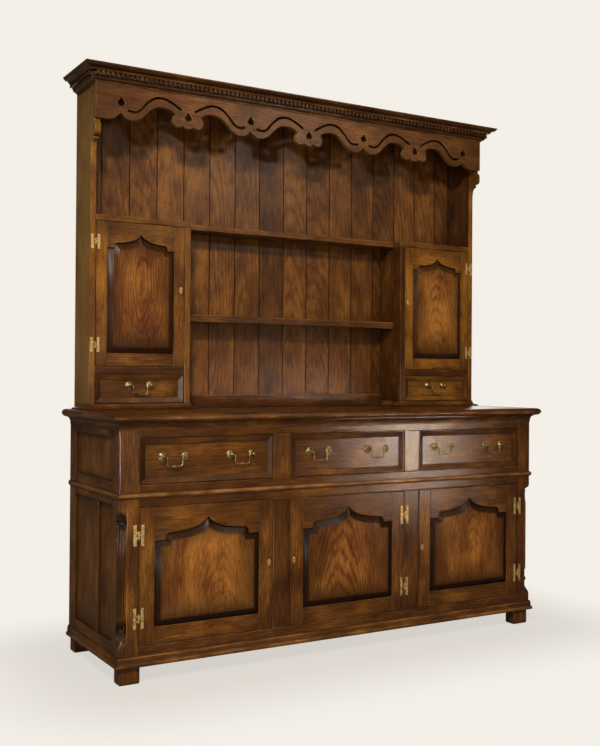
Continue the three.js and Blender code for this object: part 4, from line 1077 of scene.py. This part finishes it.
shelfDepths, deepShelf = (rack["shelfBack"], rack["shelfFront"]), (rack["shelfBack"], rack["depth"])
shelves = startPiece("upperShelf")
shelfHeights = (levels["rackDoorTop"], levels["upperShelf"])
board(shelves, woods["oak"], middleSpan, shelfDepths, shelfHeights, "x", 3, 3, tone=2.0)
for side in (-1, 1):
    span = sorted((side * rack["uprightInner"], side * rack["inner"]))
    board(shelves, woods["oak"], span, deepShelf, shelfHeights, "x", 3, 3, tone=2.4)
finishPiece(shelves, "carcase", "oak", "upper_shelf")
middleShelf = startPiece("middleShelf")
board(middleShelf, woods["oak"], middleSpan, shelfDepths,
      (levels["middleShelf"], levels["middleShelf"] + 25), "x", 3, 3, tone=1.0)
finishPiece(middleShelf, "carcase", "oak", "middle_shelf")

rackBaseProfile = [(-3, 856), (19, 856), (20, 857), (20, 860.5), (17, 862)]
rackBaseProfile += bend((17, 862), (4, 863), (3, 872), 6) + [(3, 875.5), (2, 877), (-3, 877)]
uprightLooks = {"left": {"tone": 4.0, "stain": 0.0}, "right": {"tone": 0.0, "stain": 0.3}}
rackBaseRear = 31
for hand, side in (("left", -1), ("right", 1)):
    upright = startPiece(hand + "Upright")
    span = sorted((side * rack["uprightInner"], side * rack["uprightOuter"]))
    board(upright, woods["oak"], span, deepShelf, (levels["table"], levels["rackDoorTop"]), "z", 1.8, 3,
          **uprightLooks[hand])
    finishPiece(upright, "carcase", "oak", hand + "_upright")
    shelf = startPiece(hand + "CupboardFloor")
    inner = sorted((side * rack["uprightOuter"], side * rack["inner"]))
    board(shelf, woods["oak"], inner, deepShelf,
          (levels["rackDrawerTop"], levels["rackDoorBottom"]), "x", 2, 3)
    finishPiece(shelf, "carcase", "oak", hand + "_cupboard_floor")
    stand = startPiece(hand + "RackBase")
    span = sorted((side * rack["uprightInner"], side * rack["half"]))
    sweep(stand, woods["oak"], rackBaseProfile, span[0], span[1], rack["depth"], rear=rackBaseRear)
    board(stand, woods["innerOak"], inner, deepShelf,
          (levels["table"], levels["rackDrawerFloor"]), "x", 0.6)
    finishPiece(stand, "carcase", "oak", hand + "_rack_base")
print("stage: rack made")

# doors

# tones are of the left stile, right stile, bottom rail and arched rail; hinge is a leaf's height,
# how far it reaches from the pin, and its width
baseDoor = {"stile": 54, "bottomRail": 57, "shoulderDrop": 109, "rise": 67, "keyShare": 0.514,
            "hingeInset": 89, "hinge": (67, 18, 10.5), "tones": (0.6, -0.3, 0.2, 0.0), "stain": 1.0}
rackDoor = {"stile": 43, "bottomRail": 47, "shoulderDrop": 92, "rise": 53, "keyShare": 0.547,
            "hingeInset": 75, "hinge": (51, 16.5, 10), "tones": (3.0, 2.0, 1.4, 1.2), "stain": 0.62}
doorForm = {"gap": 2.2, "thickness": 20, "railSpan": 40}
panelForm = {"margin": 22, "archLoss": 10, "proud": 4, "deep": 10}
keyPlate = {"inset": 16, "plate": (6.2, 11.5), "hole": 2.2, "holeRise": 2, "slot": (1.3, 5),
            "dark": (2.3, 5.0), "darkDrop": 1}
hingeForm = {"pinOut": 3.8, "knuckleShare": 0.17, "radius": 3.5, "screws": (-0.4, -0.17, 0.17, 0.4)}
archShares = {"step": 0.8, "knee": 0.7, "rise": 0.34, "sweep": ((0.4, 0.4), (0.1, 0.5))}
screws = {"carcase": []}


def archLine(centre, halfWidth, shoulder, rise):
    def at(share, lift):
        return (centre + halfWidth * share, shoulder + rise * lift)

    near, point = archShares["sweep"]
    step, knee, stepRise = archShares["step"], archShares["knee"], archShares["rise"]
    line = [at(1, 0), at(step, 0)]
    line += bend(at(step, 0), at(step, stepRise), at(knee, stepRise), 6)
    line += cubic(at(knee, stepRise), at(*near), at(*point), at(0, 1), 14)
    mirrored = [(2 * centre - x, z) for x, z in line[:-1]][::-1]
    return line + mirrored


def makeHingeLeaf(piece, pinX, toward, face, middleZ, sizes, fixed, body):
    height, halfWide, leafWide = sizes
    inner = halfWide - leafWide
    span = sorted((pinX + toward * inner, pinX + toward * halfWide))
    z = middleZ
    board(piece, hingeBrass, span, (face - 0.3, face + 1.8), (z - height / 2, z + height / 2), "z", 0.5, 1)
    knuckleHalf = height * hingeForm["knuckleShare"]
    third = knuckleHalf / 3
    pin = (pinX, face + hingeForm["pinOut"], 0)
    parts = [(z - third + 0.3, z + third - 0.3)]
    if fixed:
        parts = [(z + third + 0.3, z + knuckleHalf), (z - knuckleHalf, z - third - 0.3)]
    for low, high in parts:
        strap = sorted((pinX, pinX + toward * (inner + 1)))
        board(piece, hingeBrass, strap, (face + 0.05, face + 1.6), (low, high), "z", 0.3, 1)
        knuckle = [(low, 2.0), (low + 0.4, 3.4), ((low + high) / 2, hingeForm["radius"]), (high - 0.4, 3.4),
                   (high, 2.0)]
        lathe(piece, hingeBrass, knuckle, pin, "z", 14)
    if fixed:
        for sign in (-1, 1):
            tip = z + sign * knuckleHalf
            finial = [(tip, 1.6), (tip + sign * 0.8, 1.6), (tip + sign * 1.4, 2.6), (tip + sign * 3.0, 2.4),
                      (tip + sign * 3.8, 0.2)]
            lathe(piece, hingeBrass, finial, pin, "z", 12)
    middleX = pinX + toward * (inner + leafWide / 2)
    for share in hingeForm["screws"]:
        screws.setdefault(body, []).append((middleX, face + 1.8, z + share * height))


def makeDoor(name, left, right, bottom, top, face, hinged, sizes, lift, panelTone, flip=1):
    centre, gap = (left + right) / 2, doorForm["gap"]
    outerLeft, outerRight, low, high = left + gap, right - gap, bottom + gap, top - gap
    back = face - doorForm["thickness"]
    openHalf = (right - left) / 2 - sizes["stile"]
    openBottom = bottom + sizes["bottomRail"]
    shoulder = top - sizes["shoulderDrop"]
    frameWood = woods["oak"]
    piece = startPiece(titled(name) + "Frame")
    openLeft, openRight = centre - openHalf, centre + openHalf
    leftTone, rightTone, lowTone, archTone = [tone + lift for tone in sizes["tones"]]
    board(piece, frameWood, (outerLeft, openLeft), (back, face), (low, high), "z", 1.2, 2, tone=leftTone)
    board(piece, frameWood, (openRight, outerRight), (back, face), (low, high), "z", 1.2, 2,
          tone=rightTone)
    board(piece, frameWood, (openLeft, openRight), (back, face), (low, openBottom), "x", 1.2, 2,
          tone=lowTone)
    arch = archLine(centre, openHalf, shoulder, sizes["rise"])
    railOutline = arch + [(openLeft, high), (openRight, high)]
    cutBoard(piece, frameWood, railOutline, [], back, face, bevel=1.0, along="x", tone=archTone,
             span=([openLeft, back, shoulder - doorForm["railSpan"]], [openRight, face, high]))

    keyX = centre - hinged * ((right - left) / 2 - keyPlate["inset"])
    keyZ = bottom + (top - bottom) * sizes["keyShare"]
    plateWide, plateHigh = keyPlate["plate"]
    plateOutline = [(keyX + plateWide * math.cos(a), keyZ + plateHigh * math.sin(a))
                    for a in (math.radians(10 * i) for i in range(36))]
    hole, (slotHalf, slotDrop) = keyPlate["hole"], keyPlate["slot"]
    keyhole = [(keyX + hole * math.cos(a), keyZ + keyPlate["holeRise"] + hole * math.sin(a))
               for a in (math.radians(-55 + 290 * i / 14) for i in range(15))]
    keyhole += [(keyX - slotHalf, keyZ - slotDrop), (keyX + slotHalf, keyZ - slotDrop)]
    cutBoard(piece, hingeBrass, plateOutline, [keyhole], face - 0.2, face + 1.5, bevel=0.45)
    # a dark disc under the plate shows through the keyhole as painted shade in the hole
    darkWide, darkHigh = keyPlate["dark"]
    darkOutline = [(keyX + darkWide * math.cos(a), keyZ - keyPlate["darkDrop"] + darkHigh * math.sin(a))
                   for a in (math.radians(20 * i) for i in range(18))]
    cutBoard(piece, keyholeAndSlotShade, darkOutline, [], face - 1, face + 0.25, bevel=0.1)
    pinX = left if hinged < 0 else right
    toward = -hinged
    for level, z in (("upper", top - sizes["hingeInset"]), ("lower", bottom + sizes["hingeInset"])):
        fixedLeaf = startPiece(titled(name) + level.title() + "Hinge")
        makeHingeLeaf(fixedLeaf, pinX, -toward, face, z, sizes["hinge"], True, "carcase")
        finishPiece(fixedLeaf, "carcase", "brass", f"{name}_{level}_hinge")
        makeHingeLeaf(piece, pinX, toward, face, z, sizes["hinge"], False, name)
    finishPiece(piece, name, "oak", name + "_frame")

    # the panel: a dark sloping margin rising to a field that stands a little proud
    panel = startPiece(titled(name) + "Panel")

    def outlineAt(margin, loss):
        line = archLine(centre, openHalf - margin, shoulder - margin, sizes["rise"] - loss)
        return line + [(centre - openHalf + margin, openBottom + margin),
                       (centre + openHalf - margin, openBottom + margin)]

    wide, proud, deep = panelForm["margin"], face + panelForm["proud"], face - panelForm["deep"]
    loss = panelForm["archLoss"]
    # margin, loss of the arch's rise, depth and stain, from the back of the tongue to the field
    sections = [(-8, -4, deep - 5, 0.1), (-8, -4, deep + 0.5, 0.9), (0.5, 0, deep + 1.0, 0.9),
                (2, 1, deep + 1.6, 0.86), (wide * 0.5, loss * 0.5, deep + 8.6, 0.82),
                (wide - 3, loss - 1.4, proud - 1.6, 0.8), (wide - 1.2, loss - 0.6, proud - 0.4, 0.6),
                (wide, loss, proud, 0.2), (wide + 5, loss + 1, proud, 0.0)]
    rings, stains = [], []
    for margin, archLoss, depth, stain in sections:
        ring = [(x, depth, z) for x, z in outlineAt(margin, archLoss)]
        rings.append(ring)
        stains += [stain * sizes["stain"]] * len(ring)
    loft(panel, woods["panelOak"], rings, "z", stain=stains, tone=panelTone, flip=flip)
    finishPiece(panel, name, "panel_oak", name + "_panel")


# how much lighter the frame is, the tone of the panel's board, and -1 where its figure points down
doorLooks = {"base_left_door": (0.7, 2.41), "base_middle_door": (0.2, 0.93, -1),
             "base_right_door": (0.7, 1.22), "rack_left_door": (-0.1, 0.33),
             "rack_right_door": (1.0, 4.51)}
for bay, centre in bays.items():
    name = f"base_{bay}_door"
    makeDoor(name, centre - bayHalf, centre + bayHalf, levels["doorBottom"], levels["doorTop"],
             case["depth"], -1 if bay == "left" else 1, baseDoor, *doorLooks[name])
for hand, side in (("left", -1), ("right", 1)):
    name = f"rack_{hand}_door"
    centre = side * rack["cupCentre"]
    makeDoor(name, centre - rack["cupHalf"], centre + rack["cupHalf"], levels["rackDoorBottom"],
             levels["rackDoorTop"], rack["depth"], side, rackDoor, *doorLooks[name])
print("stage: doors made")

# drawers

drawerForm = {"recess": 3, "gap": 1.5, "lip": 2, "bevel": 19, "sunk": 6, "thickness": 20, "side": 10,
              "baseBack": 22, "rackBack": 24, "slopeStainsAndShades": (0.15, 0.9, 0.6, 1.2)}
handle = {"spacing": 80, "rackSpacing": 78, "offset": 122, "share": 0.583, "rackShare": 0.61,
          "rosette": 14.5, "petals": 8, "sides": 40, "post": 12, "wire": 2.3, "swell": 1.6, "drop": 32,
          "legInset": 13, "postInset": 6.7}


def makeRosette(piece, x, face, z):
    rings = []
    profile = [(1.0, -1.5), (1.0, 1.0), (0.97, 1.7), (0.9, 2.0), (0.84, 1.5), (0.76, 2.6), (0.62, 3.7),
               (0.5, 3.9), (0.42, 3.3), (0.36, 4.4), (0.3, 5.0), (0.24, 5.2)]
    for share, reachOut in profile:
        ring = []
        for i in range(handle["sides"]):
            angle = 2 * math.pi * i / handle["sides"]
            petal = abs(math.cos(handle["petals"] / 2 * angle))
            lift = 0.9 * petal if 0.45 < share < 0.88 else 0.0
            radius = handle["rosette"] * share * (1 - 0.05 * (1 - petal) if share > 0.95 else 1)
            ring.append((x + radius * math.cos(angle), face + reachOut + lift,
                         z + radius * math.sin(angle)))
        rings.append(ring)
    loft(piece, brass, rings)
    reach = handle["post"]
    post = [(3.5, 3.4), (5.2, 3.2), (6.4, 2.4), (reach - 4.6, 2.6), (reach - 3.6, 4.2), (reach - 1.5, 5.1),
            (reach, 5.3), (reach + 1.6, 5.1), (reach + 3.6, 3.9), (reach + 4.8, 1.8), (reach + 5, 0.1)]
    lathe(piece, brass, post, (x, face, z), "d", 18)


def makeBail(name, centre, face, z, spacing):
    piece = startPiece(titled(name))
    half = spacing / 2
    legX, drop = half - handle["legInset"], handle["drop"]
    depth = face + handle["post"]
    bendX = half - handle["postInset"]
    right = [(half + 4, 0), (half + 1, 0), (bendX, 0)]
    right += bend((bendX, 0), (legX + 1, 0), (legX + 0.4, -6), 5)
    right += [(legX - 0.4, -12), (legX - 0.6, -18)]
    right += bend((legX - 0.6, 8 - drop), (legX - 1, -drop), (legX - 9, -drop), 6)
    right += [(12, -drop + 0.2), (8, -drop), (4, -drop)]
    path = [(-x, h) for x, h in right] + [(0, -drop)] + right[::-1]
    radii = []
    for x, h in path:
        bulge = max(0.0, 1 - abs(x) / 10) if h < -drop + 2 else 0.0
        radii.append(handle["wire"] + handle["swell"] * bulge * bulge + (0.4 if -9 < h < -3 else 0.0))
    tube(piece, brass, [(centre + x, depth, z + h) for x, h in path], radii, 10)
    finishPiece(piece, name, "brass", name)


def makeDrawer(name, left, right, bottom, top, caseFace, boxBack, share, spacing, bails, lift=0.0):
    piece = startPiece(titled(name))
    face = caseFace - drawerForm["recess"]
    field = face - drawerForm["sunk"]
    gap = drawerForm["gap"]
    x0, x1, z0, z1 = left + gap, right - gap, bottom + gap, top - gap
    wide = drawerForm["lip"] + drawerForm["bevel"]
    back = face - drawerForm["thickness"]
    board(piece, woods["oak"], (x0 + wide - 4, x1 - wide + 4), (back, field),
          (z0 + wide - 4, z1 - wide + 4), "x", 0.5, 1, tone=lift + dice.uniform(-0.2, 0.6))
    profile = [(0, back), (0, face - 1.4), (0.5, face - 0.5), (1.4, face), (2.6, face),
               (wide - 0.8, field + 1.9), (wide, field + 1.5), (wide, field - 3), (wide - 4, back)]
    stain = [0, 0, 0, 0, 0.5, 0.65, 0.75, 0.75, 0]

    def ringAt(x, z, dirX, dirZ):
        return [(x + dirX * o, d, z + dirZ * o) for o, d in profile]

    corners = [ringAt(x0, z0, 1, 1), ringAt(x1, z0, -1, 1), ringAt(x1, z1, -1, -1),
               ringAt(x0, z1, 1, -1)]
    # each slope is stained, by amounts that paint light and shade: the lower slope, facing up, is painted
    # lightest, the left one darkest
    for i, (axis, amount) in enumerate(zip("xzxz", drawerForm["slopeStainsAndShades"])):
        loft(piece, woods["oak"], [corners[i], corners[(i + 1) % 4]], axis, smooth=False,
             stain=[amount * part for part in stain] * 2, tone=lift + dice.uniform(-0.2, 0.5))

    inner = woods["innerOak"]
    boxLeft, boxRight, floor, rim = left + 2, right - 2, bottom + 0.3, top - 8
    side = drawerForm["side"]
    board(piece, inner, (boxLeft, boxLeft + side), (boxBack, back), (floor, rim), "d", 0.8)
    board(piece, inner, (boxRight - side, boxRight), (boxBack, back), (floor, rim), "d", 0.8)
    between = (boxLeft + side, boxRight - side)
    board(piece, inner, between, (boxBack, boxBack + side), (floor, rim - 6), "x", 0.8)
    board(piece, inner, between, (boxBack + side, back), (floor, floor + 8), "x", 0.5)

    z = bottom + (top - bottom) * share
    for bailName, centre in bails.items():
        for sign in (-1, 1):
            makeRosette(piece, centre + sign * spacing / 2, field, z)
        makeBail(bailName, centre, field, z, spacing)
    finishPiece(piece, name, "oak", name)


drawerLift = {"left": 0.0, "right": 2.4}  # how much lighter each of the rack's drawers is
for bay, centre in bays.items():
    name = f"base_{bay}_drawer"
    makeDrawer(name, centre - bayHalf, centre + bayHalf, levels["drawerFloor"], levels["drawerTop"],
               case["depth"], drawerForm["baseBack"], handle["share"], handle["spacing"],
               {name + "_left_bail": centre - handle["offset"],
                name + "_right_bail": centre + handle["offset"]})
for hand, side in (("left", -1), ("right", 1)):
    name = f"rack_{hand}_drawer"
    centre = side * rack["cupCentre"]
    makeDrawer(name, centre - rack["cupHalf"], centre + rack["cupHalf"], levels["rackDrawerFloor"],
               levels["rackDrawerTop"], rack["depth"], drawerForm["rackBack"], handle["rackShare"],
               handle["rackSpacing"], {name + "_bail": centre}, drawerLift[hand])
print("stage: drawers made")


# hinge screws

def screwTree():
    tree, given, result = startTree("screwHeads", {
        "radius": "NodeSocketFloat", "height": "NodeSocketFloat", "slot": "NodeSocketFloat",
        "metal": "NodeSocketMaterial", "slotShade": "NodeSocketMaterial", "seed": "NodeSocketInt"})
    radius, height, slot = (given.outputs[label] for label in ("radius", "height", "slot"))
    head = addNode(tree, "GeometryNodeMeshCone", {
        "Vertices": 14, "Radius Bottom": radius, "Radius Top": math1(tree, "MULTIPLY", radius, 0.62),
        "Depth": height})
    size = combine(tree, math1(tree, "MULTIPLY", radius, 1.1), slot, slot)
    # the slot is a dark bar on the head, painted shade standing for a groove
    bar = addNode(tree, "GeometryNodeMeshCube", {"Size": size})
    moved = addNode(tree, "GeometryNodeTransform", {"Geometry": bar.outputs[0],
                                                    "Translation": combine(tree, z=height)})
    joined = tree.nodes.new("GeometryNodeJoinGeometry")
    wire(tree, setMaterial(tree, head.outputs[0], given.outputs["metal"]), joined.inputs[0])
    wire(tree, setMaterial(tree, moved.outputs[0], given.outputs["slotShade"]), joined.inputs[0])
    turn = combine(tree, math.pi / 2, chance(tree, given.outputs["seed"], 0.0, 3.0))
    copies = instances(tree, given.outputs[0], joined.outputs[0], Rotation=turn)
    real = addNode(tree, "GeometryNodeRealizeInstances", {"Geometry": copies})
    wire(tree, real.outputs[0], result.inputs[0])
    return tree


screwForm = {"radius": 2.3, "height": 0.5, "slot": 0.55}
headTree = screwTree()
for body, spots in screws.items():
    owner = "case" if body == "carcase" else titled(body)
    heads = bakeTree(owner + "Screws", headTree, {
        **{label: size * mm for label, size in screwForm.items()},
        "metal": hingeBrass, "slotShade": keyholeAndSlotShade, "seed": 3}, spots)
    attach(heads, body)
print("stage: screws made")

# floor, light and camera

room = {"floorSize": 30, "floor": "aaa59c", "floorDim": "2c2824", "background": "f4efe7",
        "backdropSide": (0.509, 0.861, 0.0), "backdropEdge": (0.8, 0.97), "fill": 0.18,
        "shadowHalf": (0.8, 0.2, 0), "fadeReach": (0.1, 0.65), "fadeLeast": 0.72}


def backdropShare(tree, direction, least):
    facing = addNode(tree, "ShaderNodeVectorMath", {0: direction, 1: room["backdropSide"]},
                     operation="DOT_PRODUCT").outputs["Value"]
    start, end = room["backdropEdge"]
    return addNode(tree, "ShaderNodeMapRange", {
        "Value": facing, "From Min": start, "From Max": end, "To Min": least},
        interpolation_type="SMOOTHSTEP").outputs[0]


floorMesh = bpy.data.meshes.new("floor")
span = room["floorSize"]
floorCorners = [(-span, -span, 0), (span, -span, 0), (span, span, 0), (-span, span, 0)]
floorMesh.from_pydata(floorCorners, [], [(0, 1, 2, 3)])
floor = bpy.data.objects.new("floor", floorMesh)
bpy.context.scene.collection.objects.link(floor)
floorLook = bpy.data.materials.new("floorPaint")
floorLook.use_nodes = True
tree = floorLook.node_tree
paint = tree.nodes["Principled BSDF"]
paint.inputs["Roughness"].default_value = 0.9
paint.inputs["Specular IOR Level"].default_value = 0.1
# the camera sees the background's colour away from the piece, reflections only on the backdrop's side
rays = addNode(tree, "ShaderNodeLightPath")
mirrored = math1(tree, "MAXIMUM", rays.outputs["Is Glossy Ray"], rays.outputs["Is Transmission Ray"])
where = addNode(tree, "ShaderNodeTexCoord").outputs["Object"]
spread = addNode(tree, "ShaderNodeVectorMath", {0: where}, operation="ABSOLUTE").outputs[0]
for operation, value in (("SUBTRACT", room["shadowHalf"]), ("MAXIMUM", (0, 0, 0))):
    spread = addNode(tree, "ShaderNodeVectorMath", {0: spread, 1: value}, operation=operation).outputs[0]
away = addNode(tree, "ShaderNodeVectorMath", {0: spread}, operation="LENGTH").outputs["Value"]
fadeStart, fadeEnd = room["fadeReach"]
fade = addNode(tree, "ShaderNodeMapRange", {
    "Value": away, "From Min": fadeStart, "From Max": fadeEnd, "To Min": room["fadeLeast"]},
    interpolation_type="SMOOTHSTEP").outputs[0]
outward = addNode(tree, "ShaderNodeVectorMath", {0: where}, operation="NORMALIZE").outputs[0]
ahead = backdropShare(tree, outward, 0.1)
dimmed = math1(tree, "MULTIPLY", mirrored, math1(tree, "SUBTRACT", 1.0, ahead))
floorColor = mixColor(tree, dimmed, linear(room["floor"]), linear(room["floorDim"]))
wire(tree, floorColor, paint.inputs["Base Color"])
seen = math1(tree, "MAXIMUM", rays.outputs["Is Camera Ray"], math1(tree, "MULTIPLY", mirrored, ahead))
glow = addNode(tree, "ShaderNodeEmission", {"Color": linear(room["background"]), "Strength": 1.0})
blend = addNode(tree, "ShaderNodeMixShader", {0: math1(tree, "MULTIPLY", fade, seen), 1: paint.outputs[0],
                                              2: glow.outputs[0]})
wire(tree, blend.outputs[0], tree.nodes["Material Output"].inputs[0])
floorMesh.materials.append(floorLook)

world = bpy.data.worlds.new("studio")
bpy.context.scene.world = world
world.use_nodes = True
tree = world.node_tree
rays = addNode(tree, "ShaderNodeLightPath")
mirrored = math1(tree, "MAXIMUM", rays.outputs["Is Glossy Ray"], rays.outputs["Is Transmission Ray"])
# in reflections the pale backdrop stands behind the piece, and the rest of the room is dim
toward = addNode(tree, "ShaderNodeTexCoord").outputs["Generated"]
ahead = backdropShare(tree, toward, 0.05)
seen = math1(tree, "MAXIMUM", rays.outputs["Is Camera Ray"], math1(tree, "MULTIPLY", mirrored, ahead))
lit = math1(tree, "MAXIMUM", rays.outputs["Is Camera Ray"], mirrored)
fill = addNode(tree, "ShaderNodeBackground", {"Color": (1.0, 0.96, 0.9, 1), "Strength": room["fill"]})
backdrop = addNode(tree, "ShaderNodeBackground", {"Color": linear(room["background"]), "Strength": seen})
blend = addNode(tree, "ShaderNodeMixShader", {0: lit, 1: fill.outputs[0], 2: backdrop.outputs[0]})
wire(tree, blend.outputs[0], tree.nodes["World Output"].inputs[0])

# places in metres, spread in degrees where it is narrower than usual
lamps = {
    "keyLamp": {"at": (-2.3, -3.1, 3.45), "aim": (0, 0, 1.0), "size": (0.5, 0.4), "watts": 172,
                "color": (1.0, 0.94, 0.86)},
    "lowLeftLamp": {"at": (-0.9, -3.9, 0.8), "aim": (-0.2, 0, 0.7), "size": (1.1, 0.7), "watts": 26,
                    "color": (1.0, 0.95, 0.9)},
    "lowRightLamp": {"at": (2.35, -3.0, 0.54), "aim": (0.27, -0.23, 0.75), "size": (0.2, 0.45),
                     "watts": 0.35, "spread": 13, "polish": True, "color": (1.0, 0.84, 0.68)},
    "highRightLamp": {"at": (1.45, -3.0, 2.5), "aim": (0, 0, 1.4), "size": (0.5, 0.25), "watts": 15,
                      "color": (1.0, 0.9, 0.78)},
    "backLamp": {"at": (2.4, 2.9, 2.2), "aim": (0.3, 0.26, 1.0), "size": (1.6, 1.2), "watts": 28,
                 "color": (1.0, 0.96, 0.9)},
    "sideLamp": {"at": (-4.2, -1.4, 0.45), "aim": (-0.86, -0.25, 0.62), "size": (0.25, 0.5), "watts": 1.5,
                 "spread": 35, "color": (1.0, 0.97, 0.95)},
}
for name, lamp in lamps.items():
    light = bpy.data.lights.new(name, "AREA")
    light.shape = "RECTANGLE"
    light.size, light.size_y = lamp["size"]
    light.energy = lamp["watts"]
    light.color = lamp["color"]
    light.spread = math.radians(lamp.get("spread", 180))
    holder = bpy.data.objects.new(name, light)
    holder.location = lamp["at"]
    towards = Vector(lamp["aim"]) - Vector(lamp["at"])
    holder.rotation_euler = towards.to_track_quat("-Z", "Y").to_euler()
    holder.visible_diffuse = not lamp.get("polish", False)  # a polish lamp shows only as a gleam
    bpy.context.scene.collection.objects.link(holder)

# fitted to the photo: angles in radians, focal length and centre in pixels
view = {"at": (-1.9902, -3.2465, 0.9799), "yaw": -0.534, "pitch": 0.008, "roll": 0.007, "focal": 1012.2,
        "centre": (300.0, 367.3), "image": (600, 746), "sensor": 36, "clipEnd": 200}
cameraData = bpy.data.cameras.new("camera")
camera = bpy.data.objects.new("camera", cameraData)
level = math.cos(view["pitch"])
forward = Vector((-math.sin(view["yaw"]) * level, math.cos(view["yaw"]) * level, math.sin(view["pitch"])))
right = Vector((math.cos(view["yaw"]), math.sin(view["yaw"]), 0))
up = right.cross(forward)
turnedRight = math.cos(view["roll"]) * right + math.sin(view["roll"]) * up
turnedUp = -math.sin(view["roll"]) * right + math.cos(view["roll"]) * up
axes = (turnedRight, turnedUp, -forward)
rows = [[axes[0][i], axes[1][i], axes[2][i], view["at"][i]] for i in range(3)]
camera.matrix_world = Matrix(rows + [[0, 0, 0, 1]])
longSide = max(view["image"])
cameraData.sensor_width = view["sensor"]
cameraData.lens = view["focal"] * view["sensor"] / longSide
cameraData.shift_x = (view["image"][0] / 2 - view["centre"][0]) / longSide
cameraData.shift_y = (view["centre"][1] - view["image"][1] / 2) / longSide
cameraData.clip_end = view["clipEnd"]
bpy.context.scene.collection.objects.link(camera)
bpy.context.scene.camera = camera
bpy.context.scene.view_settings.view_transform = "Standard"

print("stage: scene ready")
